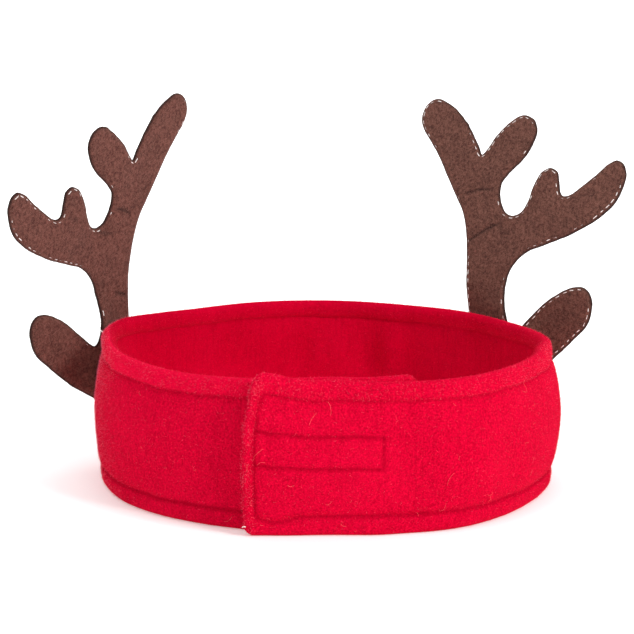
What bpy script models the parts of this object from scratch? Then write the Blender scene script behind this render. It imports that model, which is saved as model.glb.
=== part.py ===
"""A reindeer antler headband: a red fleece strip closed into a ring by a stitched flap, with two brown
felt antlers sewn to the outside of its far wall. It stands on its lower hem. Units are metres, +Z is up,
the flap faces -Y, and the origin is on the floor below the middle of the whole piece."""

import bisect
import math

import bmesh
import bpy
from mathutils import Matrix, Vector
from mathutils.geometry import delaunay_2d_cdt, intersect_point_line

# The band: a ring of doubled fleece, with a puffed hem inside a row of topstitching
BAND_RADIUS = 0.090
BAND_HEIGHT = 0.0593
BODY_THICKNESS = 0.0036
HEM_THICKNESS = 0.0056
HEM_WIDTH = 0.0075
SEAM_THICKNESS = 0.0026
FOOT_WIDTH = 0.0020
BULGE = 0.0044
RIM_WAVE = 0.0014

# The two ends of the strip: the flap lies over the underlap
FLAP_END_ANGLE = 380.3
UNDERLAP_END_ANGLE = -22.5
END_HEM_WIDTH = 0.0056
CORNER_RADIUS = 0.0042
FLAP_RISE = 0.0042
FLAP_RISE_LENGTH = 0.026
FLAP_FLARE = 0.0016
FLAP_FLARE_LENGTH = 0.010
FLAP_SLANT = 0.0034
FLAP_SLANT_LENGTH = 0.030
UNDERLAP_RISE = 0.0016
UNDERLAP_RISE_LENGTH = 0.028
LAYER_GAP = 0.0004
STEP_IN_START = 3.0
STEP_IN_ANGLE = 46.0

# The stitched box that holds the closure tape under the flap
BOX_LENGTH = 0.0485
BOX_HEIGHT = 0.0140
BOX_MIDDLE = 0.0312
BOX_STITCH_WIDTH = 0.0016
BOX_STITCH_DEPTH = 0.0007
TAPE_MARGIN = 0.0010

# The antlers: two layers of felt each
ANTLER_WIDTH = 0.103
ANTLER_HEIGHT = 0.136
ROOT_DEPTH = 0.038
FELT_THICKNESS = 0.0010
ROOT_HALF_WIDTH = 0.0140
ROOT_FADE = 0.015
LEAN_START = 0.004
LEAN_LENGTH = 0.020
MESH_SPACING = 0.0095

FIT_GAP = 0.0003
SEAT_GAP = 0.0004
COLUMN_SPACING = 0.0092

# Band plan, clockwise from the flap as seen from above: angle in degrees, then shares of BAND_RADIUS, BULGE
# and RIM_WAVE
BAND_PLAN = (
    (0, 0.985, 0.50, 0.5),
    (20, 1.035, 0.45, 0.0),
    (40, 1.030, 0.50, -0.4),
    (58, 1.015, 0.75, 0.4),
    (75, 1.005, 1.00, 0.8),
    (90, 1.012, 1.00, 0.8),
    (101, 1.045, 0.70, 0.8),
    (113, 1.055, 0.30, 1.1),
    (126, 1.010, 0.20, 0.7),
    (140, 0.985, 0.20, 0.3),
    (160, 1.012, 0.20, 0.1),
    (180, 1.005, 0.20, 0.0),
    (205, 0.955, 0.20, 0.0),
    (225, 0.938, 0.20, 0.3),
    (245, 0.950, 0.50, 0.0),
    (270, 0.998, 1.00, 0.0),
    (298, 1.000, 0.90, -0.2),
    (325, 1.030, 0.65, -0.3),
    (343, 1.020, 0.50, -0.1),
)

# Thickness beside an edge of the strip: place, share of the hem's width from the edge, thickness there
EDGE_PROFILE = (
    ("edge", 0.00, FOOT_WIDTH),
    ("shoulder", 0.13, 0.76 * HEM_THICKNESS),
    ("crown", 0.40, HEM_THICKNESS),
    ("hem side", 0.80, 0.90 * HEM_THICKNESS),
    ("seam", 1.00, SEAM_THICKNESS),
    ("body", 1.22, BODY_THICKNESS),
)

# Antlers: name, side of the band, angle on the band, twist off the band's wall, lean out, roll out, in degrees
ANTLERS = (
    ("left", -1, 112.6, 11.5, -10.0, 2.0),
    ("right", 1, 232.4, 15.5, 15.5, -6.0),
)

# Outline of an antler: point, share of ANTLER_WIDTH out from the stem, share of ANTLER_HEIGHT up
ANTLER_OUTLINE = (
    ("root inner corner", -0.090, 0.040),
    ("stem inner, at the rim", -0.089, 0.280),
    ("stem inner, middle", -0.092, 0.485),
    ("stem inner, top", -0.117, 0.603),
    ("brow inner, foot", -0.184, 0.702),
    ("brow inner, middle", -0.271, 0.814),
    ("brow inner, top", -0.343, 0.893),
    ("brow tip, inner", -0.361, 0.938),
    ("brow tip, corner", -0.335, 0.979),
    ("brow tip", -0.282, 0.999),
    ("brow tip, outer", -0.218, 0.978),
    ("brow outer, middle", -0.136, 0.915),
    ("brow outer, foot", -0.081, 0.849),
    ("fork", -0.049, 0.807),
    ("second tine inner, foot", 0.015, 0.860),
    ("second tine inner, top", 0.083, 0.904),
    ("second tine tip", 0.143, 0.925),
    ("second tine tip, outer", 0.197, 0.904),
    ("second tine outer, top", 0.214, 0.864),
    ("second tine outer, middle", 0.173, 0.801),
    ("second tine outer, foot", 0.092, 0.739),
    ("neck", 0.050, 0.688),
    ("hollow, inner side", 0.068, 0.632),
    ("hollow", 0.119, 0.595),
    ("hollow, outer side", 0.175, 0.629),
    ("small tine inner", 0.218, 0.691),
    ("small tine tip", 0.280, 0.743),
    ("small tine outer", 0.324, 0.721),
    ("notch", 0.357, 0.654),
    ("end tine inner", 0.461, 0.699),
    ("end tine top", 0.578, 0.759),
    ("end tine corner", 0.630, 0.740),
    ("end tine tip", 0.643, 0.699),
    ("end tine under", 0.587, 0.618),
    ("branch under", 0.466, 0.551),
    ("branch under, middle", 0.291, 0.496),
    ("armpit", 0.160, 0.443),
    ("stem outer, top", 0.103, 0.371),
    ("stem outer", 0.088, 0.280),
    ("low notch", 0.110, 0.215),
    ("low tine inner, foot", 0.204, 0.261),
    ("low tine inner, middle", 0.320, 0.329),
    ("low tine top", 0.413, 0.353),
    ("low tine corner", 0.479, 0.331),
    ("low tine tip", 0.493, 0.287),
    ("low tine under", 0.451, 0.221),
    ("low tine under, foot", 0.311, 0.132),
    ("root outer corner", 0.155, 0.049),
    ("root bottom, outer", 0.058, 0.005),
    ("root bottom, inner", -0.040, 0.002),
)
OUTLINE_STEPS = 2

FULL_TURN = 360.0

COLOURS = {
    "fleece": ((0.70, 0.004, 0.022, 1.0), 0.95),
    "felt": ((0.085, 0.035, 0.024, 1.0), 0.93),
    "tape": ((0.30, 0.006, 0.014, 1.0), 0.80),
}


def smooth_step(share):
    """0 below 0, 1 above 1, and an even S between them."""
    share = min(1.0, max(0.0, share))
    return share * share * (3 - 2 * share)


def between(places, values, place):
    """The value at a place, on straight lines between the values at rising places, run on past both ends."""
    i = min(max(bisect.bisect_right(places, place) - 1, 0), len(places) - 2)
    share = (place - places[i]) / (places[i + 1] - places[i])
    return values[i] + (values[i + 1] - values[i]) * share


def round_the_band(points, angle):
    """The value at an angle on a smooth closed curve through the points, each an angle and a value."""
    angle = angle % FULL_TURN
    before = [(a - FULL_TURN, v) for a, v in points[-2:]]
    after = [(a + FULL_TURN, v) for a, v in points[:2]]
    ring = before + points + after
    i = bisect.bisect_right([a for a, _ in ring], angle) - 1
    (a0, v0), (a1, v1), (a2, v2), (a3, v3) = ring[i - 1 : i + 3]
    t = (angle - a1) / (a2 - a1)
    slope1 = (v2 - v0) / (a2 - a0) * (a2 - a1)
    slope2 = (v3 - v1) / (a3 - a1) * (a2 - a1)
    value = (2 * t**3 - 3 * t**2 + 1) * v1 + (3 * t**2 - 2 * t**3) * v2
    return value + (t**3 - 2 * t**2 + t) * slope1 + (t**3 - t**2) * slope2


def profile_thickness(share):
    """The strip's thickness at this share of the hem's width from its nearest edge."""
    rows = [(distance, thickness) for _, distance, thickness in EDGE_PROFILE]
    if share >= rows[-1][0]:
        return BODY_THICKNESS
    for (d0, t0), (d1, t1) in zip(rows, rows[1:]):
        if share <= d1:
            return t0 + (t1 - t0) * (share - d0) / (d1 - d0)
    return BODY_THICKNESS


# Two layers of hem, one on the other, set how far the underlap lies inside the flap
LAYER_PITCH = HEM_THICKNESS + LAYER_GAP
RADIUS_CURVE = [(angle, share * BAND_RADIUS) for angle, share, _, _ in BAND_PLAN]
BULGE_CURVE = [(angle, share * BULGE) for angle, _, share, _ in BAND_PLAN]
RIM_CURVE = [(angle, share * RIM_WAVE) for angle, _, _, share in BAND_PLAN]


def wall_line(angle):
    """The middle of the wall in plan, at an angle along the strip: the underlap starts inside the flap."""
    radius = round_the_band(RADIUS_CURVE, angle)
    past_flap = angle - (FLAP_END_ANGLE - FULL_TURN)
    radius -= LAYER_PITCH * (1 - smooth_step((past_flap - STEP_IN_START) / STEP_IN_ANGLE))
    turn = math.radians(angle)
    return Vector((-math.sin(turn), -math.cos(turn))) * radius


class Strip:
    """The band's middle line, measured by length from the underlap's end to the flap's end."""

    def __init__(self):
        steps = 1400
        span = FLAP_END_ANGLE - UNDERLAP_END_ANGLE
        self.angles = [UNDERLAP_END_ANGLE + span * i / steps for i in range(steps + 1)]
        points = [wall_line(angle) for angle in self.angles]
        self.lengths = [0.0]
        for a, b in zip(points, points[1:]):
            self.lengths.append(self.lengths[-1] + (b - a).length)
        self.length = self.lengths[-1]

    def angle_at(self, length):
        """The angle round the band at a length along the strip."""
        return between(self.lengths, self.angles, length)

    def length_at(self, angle):
        """The length along the strip at an angle round the band."""
        return between(self.angles, self.lengths, angle)

    def frame_at(self, angle):
        """The middle of the wall, the direction along it and the direction out of the ring."""
        step = 0.25
        ahead = (wall_line(angle + step) - wall_line(angle - step)).normalized()
        return wall_line(angle), ahead, Vector((-ahead.y, ahead.x))

    def edges_at(self, length):
        """The heights of the strip's lower and upper edge, with its corners rounded and its free ends risen."""
        to_flap = self.length - length
        end = min(length, to_flap)
        reach = max(0.0, CORNER_RADIUS - end)
        corner = CORNER_RADIUS - math.sqrt(CORNER_RADIUS**2 - reach**2)
        rise = round_the_band(RIM_CURVE, self.angle_at(length))
        rise += FLAP_RISE * smooth_step(1 - to_flap / FLAP_RISE_LENGTH)
        rise += UNDERLAP_RISE * smooth_step(1 - length / UNDERLAP_RISE_LENGTH)
        return corner, BAND_HEIGHT + rise - corner

    def point(self, length, height, off):
        """A point of the wall at a length and height, off its middle by a distance outwards."""
        to_flap = self.length - length
        raised = max(0.0, height / BAND_HEIGHT - 0.5) / 0.5
        slant = FLAP_SLANT * raised**2 * smooth_step(1 - to_flap / FLAP_SLANT_LENGTH)
        angle = self.angle_at(length - slant)
        middle, _, outwards = self.frame_at(angle)
        crown = 1 - ((height - BAND_HEIGHT / 2) / (BAND_HEIGHT / 2 - HEM_WIDTH / 2)) ** 2
        bulge = round_the_band(BULGE_CURVE, angle) * max(0.0, crown)
        flare = FLAP_FLARE * smooth_step(1 - to_flap / FLAP_FLARE_LENGTH)
        place = middle + outwards * (bulge + flare + off)
        return Vector((place.x, place.y, height))


def hem_places(width):
    """Distances from an edge at which the profile turns."""
    return [share * width for _, share, _ in EDGE_PROFILE]


def strip_columns(strip):
    """Lengths along the strip at which the wall has a section: closer at its ends and at the box's far side."""
    ends = hem_places(END_HEM_WIDTH)
    box_end = strip.length - END_HEM_WIDTH - BOX_LENGTH
    box = [box_end - BOX_STITCH_WIDTH / 2, box_end, box_end + BOX_STITCH_WIDTH / 2]
    fixed = ends + box + [strip.length - d for d in reversed(ends)]
    places = [fixed[0]]
    for place in fixed[1:]:
        gap = place - places[-1]
        count = max(1, round(gap / COLUMN_SPACING))
        start = places[-1]
        places += [start + gap * (i + 1) / count for i in range(count)]
    return places


def strip_rows():
    """Heights of the wall's rows, on a wall with straight edges: the hems, the box's stitches and between."""
    low = BOX_MIDDLE - BOX_HEIGHT / 2
    high = BOX_MIDDLE + BOX_HEIGHT / 2
    half = BOX_STITCH_WIDTH / 2
    hem = hem_places(HEM_WIDTH)
    rows = hem + [(hem[-1] + low - half) / 2]
    rows += [low - half, low, low + half, BOX_MIDDLE, high - half, high, high + half]
    rows += [(BAND_HEIGHT - hem[-1] + high + half) / 2]
    rows += [BAND_HEIGHT - d for d in reversed(hem)]
    return rows


def on_box_stitch(strip, length, height):
    """Whether a point of the flap lies on the rectangle of stitching round the tape."""
    start = strip.length - END_HEM_WIDTH - BOX_LENGTH
    tiny = 1e-6
    beside = start - tiny < length < strip.length - END_HEM_WIDTH + tiny
    level = abs(height - BOX_MIDDLE) < BOX_HEIGHT / 2 + tiny
    on_side = abs(length - start) < tiny
    on_level = abs(abs(height - BOX_MIDDLE) - BOX_HEIGHT / 2) < tiny
    return (beside and on_level) or (level and on_side)


def make_material(name):
    """A Principled material with a colour and roughness of its own."""
    colour, roughness = COLOURS[name]
    material = bpy.data.materials.new(name)
    material.use_nodes = True
    shader = material.node_tree.nodes["Principled BSDF"]
    shader.inputs["Base Color"].default_value = colour
    shader.inputs["Roughness"].default_value = roughness
    shader.inputs["Metallic"].default_value = 0.0
    return material


def make_object(name, points, faces, material):
    """A smooth-shaded object from points and faces, with its faces turned to point out."""
    shape = bmesh.new()
    corners = [shape.verts.new(point) for point in points]
    for face in faces:
        shape.faces.new([corners[i] for i in face])
    bmesh.ops.recalc_face_normals(shape, faces=shape.faces)
    mesh = bpy.data.meshes.new(name)
    shape.to_mesh(mesh)
    shape.free()
    mesh.shade_smooth()
    mesh.set_sharp_from_angle(angle=math.radians(50))
    mesh.materials.append(material)
    made = bpy.data.objects.new(name, mesh)
    bpy.context.scene.collection.objects.link(made)
    return made


def close_grid(columns, rows, outer, inner):
    """Faces of a panel whose outer and inner points are grids of the same size, closed round its border."""
    faces = []
    for i in range(columns - 1):
        for j in range(rows - 1):
            a, b = i * rows + j, (i + 1) * rows + j
            faces.append((outer + a, outer + a + 1, outer + b + 1, outer + b))
            faces.append((inner + a, inner + b, inner + b + 1, inner + a + 1))
    border = [i * rows for i in range(columns)]
    border += [(columns - 1) * rows + j for j in range(1, rows)]
    border += [i * rows + rows - 1 for i in reversed(range(columns - 1))]
    border += [j for j in reversed(range(1, rows - 1))]
    for a, b in zip(border, border[1:] + border[:1]):
        faces.append((outer + a, outer + b, inner + b, inner + a))
    return faces


def build_band(strip, material):
    """The fleece strip: a panel of its own thickness profile, wrapped round the plan."""
    columns, rows = strip_columns(strip), strip_rows()
    outer, inner = [], []
    for length in columns:
        low, high = strip.edges_at(length)
        to_end = min(length, strip.length - length) / END_HEM_WIDTH
        for row in rows:
            height = low + (high - low) * row / BAND_HEIGHT
            to_edge = min(row, BAND_HEIGHT - row) / HEM_WIDTH
            half = profile_thickness(min(to_end, to_edge)) / 2
            dent = BOX_STITCH_DEPTH if on_box_stitch(strip, length, row) else 0.0
            outer.append(strip.point(length, height, half - dent))
            inner.append(strip.point(length, height, -half))
    faces = close_grid(len(columns), len(rows), 0, len(outer))
    return make_object("fleece_band", outer + inner, faces, material)


def build_tape(strip, material):
    """The closure tape, one plain curved plate between the flap's body and the underlap's."""
    thickness = LAYER_PITCH - BODY_THICKNESS - 2 * FIT_GAP
    start = strip.length - END_HEM_WIDTH - BOX_LENGTH + TAPE_MARGIN
    stop = strip.length - FLAP_FLARE_LENGTH
    count = 7
    outer, inner = [], []
    for i in range(count):
        length = start + (stop - start) * i / (count - 1)
        for share in (-0.5, 0.0, 0.5):
            height = BOX_MIDDLE + share * (BOX_HEIGHT - 2 * TAPE_MARGIN)
            face = -BODY_THICKNESS / 2 - FIT_GAP
            outer.append(strip.point(length, height, face))
            inner.append(strip.point(length, height, face - thickness))
    faces = close_grid(count, 3, 0, len(outer))
    return make_object("closure_tape", outer + inner, faces, material)


def smooth_outline():
    """The antler's outline, as points on a smooth closed curve through its table."""
    knots = [(out * ANTLER_WIDTH, up * ANTLER_HEIGHT) for _, out, up in ANTLER_OUTLINE]
    count = len(knots)
    curve = []
    for i in range(count):
        p0, p1, p2, p3 = (Vector(knots[(i + k) % count]) for k in (-1, 0, 1, 2))
        for step in range(OUTLINE_STEPS):
            t = step / OUTLINE_STEPS
            pull = 2 * p1 + (p2 - p0) * t
            pull += (2 * p0 - 5 * p1 + 4 * p2 - p3) * t**2
            pull += (3 * p1 - p0 - 3 * p2 + p3) * t**3
            curve.append(pull / 2)
    return curve


def inside(point, outline):
    """Whether a point lies inside a closed outline."""
    within = False
    for a, b in zip(outline, outline[1:] + outline[:1]):
        if (a.y > point.y) != (b.y > point.y):
            if point.x < a.x + (b.x - a.x) * (point.y - a.y) / (b.y - a.y):
                within = not within
    return within


def edge_distance(point, outline):
    """The distance from a point to a closed outline."""
    nearest = math.inf
    for a, b in zip(outline, outline[1:] + outline[:1]):
        _, share = intersect_point_line(point, a, b)
        foot = a + (b - a) * min(1.0, max(0.0, share))
        nearest = min(nearest, (point - foot).length)
    return nearest


def flat_antler():
    """A flat felt antler: its points, triangles and the number of points on its outline."""
    outline = smooth_outline()
    lows = [min(p[k] for p in outline) for k in (0, 1)]
    highs = [max(p[k] for p in outline) for k in (0, 1)]
    middle = []
    counts = [math.ceil((high - low) / MESH_SPACING) for low, high in zip(lows, highs)]
    for i in range(counts[0]):
        for j in range(counts[1]):
            point = Vector((lows[0] + (i + 0.5) * MESH_SPACING, lows[1] + (j + 0.5) * MESH_SPACING))
            if inside(point, outline) and edge_distance(point, outline) > MESH_SPACING / 3:
                middle.append(point)
    border = len(outline)
    edges = [(i, (i + 1) % border) for i in range(border)]
    filled = delaunay_2d_cdt(outline + middle, edges, [list(range(border))], 1, 1e-7)
    return filled[0], [list(face) for face in filled[2]], border


class AntlerSheet:
    """The sheet midway between an antler's two felts: it lies along the wall at the root and is flat beyond."""

    def __init__(self, strip, side, angle, twist, lean, roll):
        self.side, self.lean, self.roll = side, math.radians(lean), math.radians(roll)
        place, ahead, _ = strip.frame_at(angle)
        self.out = Matrix.Rotation(math.radians(twist) * side, 2) @ (ahead * side)
        self.normal = Vector((-self.out.y, self.out.x)) * side
        length = strip.length_at(angle)
        left, middle, right = (self.wall_reach(strip, length, place, out) for out in (-1, 0, 1))
        self.tilt = (right - left) / 2
        self.sag = (right + left) / 2 - middle
        steepest = (abs(self.tilt) + 2 * abs(self.sag)) / ROOT_HALF_WIDTH
        clearance = (SEAT_GAP + FIT_GAP / 2 + FELT_THICKNESS) * math.hypot(1, steepest)
        self.seat = place + self.normal * (middle + clearance)

    def wall_reach(self, strip, length, place, share):
        """How far the wall stands out behind the root, this share of the root's half width from its middle."""
        reach = -math.inf
        along_wall = share * ROOT_HALF_WIDTH * self.side
        steps = 24
        for i in range(steps + 1):
            height = BAND_HEIGHT - ROOT_DEPTH * i / steps
            to_edge = min(height, BAND_HEIGHT - height) / HEM_WIDTH
            point = strip.point(length + along_wall, height, profile_thickness(to_edge) / 2)
            reach = max(reach, (point.xy - place).dot(self.normal))
        return reach

    def surface(self, out, up):
        """The sheet's point for a place on the flat felt, with up measured from the root's bottom."""
        above = up - ROOT_DEPTH
        across = out * math.cos(self.roll) + above * math.sin(self.roll)
        z = above * math.cos(self.roll) - out * math.sin(self.roll)
        bent = max(0.0, z - LEAN_START)
        turned = min(bent, LEAN_LENGTH)
        rate = self.lean / LEAN_LENGTH
        rise = math.sin(rate * turned) / rate + (bent - turned) * math.cos(self.lean)
        fall = (1 - math.cos(rate * turned)) / rate + (bent - turned) * math.sin(self.lean)
        off = fall + self.pressed(across, z)
        place = self.seat + self.out * across + self.normal * off
        return Vector((place.x, place.y, BAND_HEIGHT + min(z, LEAN_START) + rise))

    def pressed(self, across, z):
        """How the root leaves its flat to lie along the wall, fading out above the rim and beside the stem."""
        share = min(1.0, max(-1.0, across / ROOT_HALF_WIDTH))
        lie = self.tilt * share + self.sag * share**2
        beside = 1 - smooth_step((abs(across) - ROOT_HALF_WIDTH) / ROOT_FADE)
        return lie * beside * (1 - smooth_step(z / ROOT_FADE))

    def point(self, out, up, off):
        """A point this far off the sheet, outwards from the band."""
        step = 1e-4
        across = self.surface(out + step, up) - self.surface(out - step, up)
        upwards = self.surface(out, up + step) - self.surface(out, up - step)
        normal = across.cross(upwards).normalized()
        if normal.xy.dot(self.normal) < 0:
            normal = -normal
        return self.surface(out, up) + normal * off


def build_felt(name, sheet, flat, inner_off, material):
    """One layer of felt, its inner face this far outside the sheet."""
    points, triangles, border = flat
    count = len(points)
    lower = [sheet.point(p.x, p.y, inner_off) for p in points]
    upper = [sheet.point(p.x, p.y, inner_off + FELT_THICKNESS) for p in points]
    faces = [tuple(t) for t in triangles]
    faces += [tuple(i + count for i in reversed(t)) for t in triangles]
    for i in range(border):
        j = (i + 1) % border
        faces.append((j, i, i + count, j + count))
    return make_object(name, lower + upper, faces, material)


def centre(pieces):
    """Moves the pieces so that the middle of their outline in plan is at the origin, with the lowest point at 0."""
    points = [vertex.co for piece in pieces for vertex in piece.data.vertices]
    low = Vector([min(point[axis] for point in points) for axis in range(3)])
    high = Vector([max(point[axis] for point in points) for axis in range(3)])
    middle = (low + high) / 2
    shift = Matrix.Translation((-middle.x, -middle.y, -low.z))
    for piece in pieces:
        piece.data.transform(shift)


def main():
    """Clears the scene and builds the headband's pieces."""
    for left_over in list(bpy.data.objects):
        bpy.data.objects.remove(left_over)
    fleece, felt, tape = (make_material(name) for name in ("fleece", "felt", "tape"))
    strip = Strip()
    pieces = [build_band(strip, fleece), build_tape(strip, tape)]
    flat = flat_antler()
    for name, side, angle, twist, lean, roll in ANTLERS:
        sheet = AntlerSheet(strip, side, angle, twist, lean, roll)
        inner_off = -FELT_THICKNESS - FIT_GAP / 2
        pieces.append(build_felt(f"antler_{name}_inner_felt", sheet, flat, inner_off, felt))
        pieces.append(build_felt(f"antler_{name}_outer_felt", sheet, flat, FIT_GAP / 2, felt))
    centre(pieces)


main()
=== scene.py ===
"""Looks of a reindeer antler headband: napped red fleece closed into a ring, with two brown felt antlers.

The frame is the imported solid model: metres, +Z up, the flap faces -Y and the floor is at z = 0. Each piece is
worked out from the same named sizes as the solids, and rides on the one body, "root".
"""

import logging
import math
from dataclasses import dataclass
from enum import Enum

import bpy
import numpy as np
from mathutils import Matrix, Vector
from mathutils.geometry import delaunay_2d_cdt


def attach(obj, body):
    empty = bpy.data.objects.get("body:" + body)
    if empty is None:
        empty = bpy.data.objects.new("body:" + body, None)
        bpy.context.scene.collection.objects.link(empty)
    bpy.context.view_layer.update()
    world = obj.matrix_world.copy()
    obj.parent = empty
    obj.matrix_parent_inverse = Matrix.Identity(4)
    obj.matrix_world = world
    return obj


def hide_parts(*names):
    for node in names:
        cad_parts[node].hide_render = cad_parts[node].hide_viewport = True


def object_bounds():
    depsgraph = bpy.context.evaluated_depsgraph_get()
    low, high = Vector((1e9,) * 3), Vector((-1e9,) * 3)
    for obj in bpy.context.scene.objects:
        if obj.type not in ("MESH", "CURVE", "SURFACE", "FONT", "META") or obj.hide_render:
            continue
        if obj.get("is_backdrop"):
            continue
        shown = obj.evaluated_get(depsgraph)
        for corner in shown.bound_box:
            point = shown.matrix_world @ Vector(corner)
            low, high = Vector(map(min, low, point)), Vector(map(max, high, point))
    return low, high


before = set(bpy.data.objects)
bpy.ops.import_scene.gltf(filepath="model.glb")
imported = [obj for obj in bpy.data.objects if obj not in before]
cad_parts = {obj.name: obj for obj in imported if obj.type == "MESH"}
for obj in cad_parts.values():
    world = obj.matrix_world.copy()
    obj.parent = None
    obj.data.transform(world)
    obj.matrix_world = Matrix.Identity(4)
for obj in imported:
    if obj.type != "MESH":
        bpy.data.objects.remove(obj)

Array = np.ndarray
Material = bpy.types.Material
Piece = bpy.types.Object
Tree = bpy.types.NodeTree
Socket = bpy.types.NodeSocket
log = logging.getLogger("headband")

MM = 0.001
FULL_TURN = 360.0
ROOT_BODY = "root"

# A direction that no fibre or thread runs along
ASIDE = (0.31, 0.57, 0.76)

# A stitch that shows: steps along it, corners round it, how far it dives in radii, and how thin its ends get
THREAD_STEPS = 9
THREAD_SIDES = 6
THREAD_DIVE = 2.2
THREAD_TAPER = 0.45
THREAD_POWER = 6

# Where the middle of the solids' plan lies, from the middle of the ring that the plan's shares use
PLAN_SHIFT = (0.768 * MM, -2.486 * MM, 0.0)

# Band plan, clockwise from the flap as seen from above: angle in degrees, then shares of the band's radius,
# of its bulge and of the wave of its rim
BAND_PLAN = (
    (0, 0.985, 0.50, 0.5),
    (20, 1.035, 0.45, 0.0),
    (40, 1.030, 0.50, -0.4),
    (58, 1.015, 0.75, 0.4),
    (75, 1.005, 1.00, 0.8),
    (90, 1.012, 1.00, 0.8),
    (101, 1.045, 0.70, 0.8),
    (113, 1.055, 0.30, 1.1),
    (126, 1.010, 0.20, 0.7),
    (140, 0.985, 0.20, 0.3),
    (160, 1.012, 0.20, 0.1),
    (180, 1.005, 0.20, 0.0),
    (205, 0.955, 0.20, 0.0),
    (225, 0.938, 0.20, 0.3),
    (245, 0.950, 0.50, 0.0),
    (270, 0.998, 1.00, 0.0),
    (298, 1.000, 0.90, -0.2),
    (325, 1.030, 0.65, -0.3),
    (343, 1.020, 0.50, -0.1),
)

# Soft dents and swells of the wall: name, angle in degrees, then height, reach along and up, and depth in mm
WALL_WAVES = (
    ("dent right of the box", -18, 28, 9, 24, -3.8),
    ("swell right of the dent", -36, 30, 12, 22, 1.4),
    ("second dent", -47, 20, 9, 12, -0.9),
    ("hem folded in at the right", -79, 60, 10, 9, -2.0),
    ("flap shadow side", 25, 30, 6, 30, -0.9),
    ("swell left of the flap", 43, 32, 16, 20, 0.8),
    ("flare of the lower hem", 84, 6, 24, 9, 1.4),
    ("far wall, middle dip", 172, 33, 6, 9, 2.6),
    ("far wall, swell beside it", 183, 36, 8, 12, -1.8),
    ("far wall, second dip", 193, 33, 6, 12, 1.6),
    ("far wall, right swell", 200, 38, 6, 10, -2.2),
    ("far wall, right dip", 207, 34, 6, 12, 1.6),
    ("far wall, left dip", 152, 32, 14, 16, 1.0),
)

# The solids' wall where an antler is seated: share of the hem's width from the edge, thickness in mm
WALL_THICKNESS = (
    (0.00, 2.000),
    (0.13, 4.256),
    (0.40, 5.600),
    (0.80, 5.040),
    (1.00, 2.600),
    (1.22, 3.600),
)

# Insets of the rings of points inside an antler's cut edge, in mm: close together where the edge is rounded
RING_INSETS = (0.0, 0.05, 0.16, 0.38, 0.65, 0.95, 1.25, 1.55, 2.0)

# Outline of an antler, clockwise from its root: share of its width out from the stem, share of its height up
ANTLER_OUTLINE = (
    (-0.086, 0.045),
    (-0.091, 0.100),
    (-0.094, 0.290),
    (-0.087, 0.400),
    (-0.091, 0.500),
    (-0.116, 0.603),
    (-0.186, 0.702),
    (-0.268, 0.814),
    (-0.343, 0.895),
    (-0.360, 0.940),
    (-0.338, 0.979),
    (-0.286, 0.999),
    (-0.224, 0.979),
    (-0.163, 0.942),
    (-0.108, 0.886),
    (-0.069, 0.835),
    (-0.048, 0.804),
    (-0.026, 0.816),
    (0.018, 0.860),
    (0.083, 0.903),
    (0.148, 0.926),
    (0.198, 0.910),
    (0.219, 0.872),
    (0.203, 0.828),
    (0.158, 0.780),
    (0.088, 0.733),
    (0.058, 0.700),
    (0.057, 0.655),
    (0.080, 0.615),
    (0.122, 0.598),
    (0.166, 0.610),
    (0.196, 0.645),
    (0.220, 0.695),
    (0.250, 0.734),
    (0.292, 0.748),
    (0.328, 0.733),
    (0.339, 0.695),
    (0.349, 0.663),
    (0.376, 0.655),
    (0.420, 0.670),
    (0.500, 0.714),
    (0.572, 0.756),
    (0.613, 0.762),
    (0.641, 0.738),
    (0.643, 0.693),
    (0.600, 0.626),
    (0.520, 0.575),
    (0.400, 0.530),
    (0.285, 0.500),
    (0.205, 0.478),
    (0.152, 0.446),
    (0.118, 0.405),
    (0.103, 0.360),
    (0.108, 0.310),
    (0.124, 0.262),
    (0.150, 0.226),
    (0.178, 0.234),
    (0.232, 0.277),
    (0.300, 0.319),
    (0.370, 0.347),
    (0.432, 0.357),
    (0.475, 0.340),
    (0.491, 0.296),
    (0.462, 0.235),
    (0.380, 0.178),
    (0.290, 0.122),
    (0.155, 0.049),
    (0.058, 0.005),
    (-0.030, 0.002),
    (-0.068, 0.014),
)

# Long fibres caught in the flap: name, mm from its end, height in mm, slope in degrees, length in mm, bend
CAUGHT_FIBRES = (
    ("across the end hem", 6.0, 30.0, 55, 7.0, 0.3),
    ("under the top hem", 32.0, 49.0, 100, 6.5, -0.5),
    ("above the box", 26.0, 45.0, 62, 6.0, 0.4),
    ("beside the box", 7.5, 27.0, 30, 4.0, 0.8),
    ("low on the end hem", 4.0, 13.0, 110, 3.5, 1.2),
    ("right of the box", 78.0, 21.0, 70, 6.5, 0.6),
)


class Face(Enum):
    """The two faces of the band's wall: the value is the sign of its offset from the wall's middle."""

    OUTSIDE = 1.0
    INSIDE = -1.0


class Layer(Enum):
    """The two felts of an antler: the inner one lies towards the band."""

    INNER = -1.0
    OUTER = 1.0


class PlanColumn(Enum):
    """The columns of BAND_PLAN after the angle: shares of the radius, the bulge and the rim's wave."""

    RADIUS = 1
    BULGE = 2
    RIM = 3


# Shared shapes and sums


def smooth_step(share: Array) -> Array:
    """0 below 0, 1 above 1, and an even S between them: 3 s squared less 2 s cubed."""
    share = np.clip(share, 0.0, 1.0)
    return share * share * (3 - 2 * share)


def bell(distance: Array, width: float) -> Array:
    """A bell of height 1: e to the power of minus the square of distance over width."""
    return np.exp(-((distance / width) ** 2))


def wander(length: Array, wave: float) -> Array:
    """A slow uneven wave from about -1 to 1: three sines of unlike wavelengths, added up."""
    turn = 2 * np.pi * length / wave
    return 0.5 * np.sin(turn + 1.3) + 0.3 * np.sin(1.73 * turn + 4.1) + 0.2 * np.sin(2.61 * turn + 0.6)


def unit(vectors: Array) -> Array:
    """The vectors in the last axis, each made one metre long."""
    return vectors / np.maximum(np.linalg.norm(vectors, axis=-1, keepdims=True), 1e-12)


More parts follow.
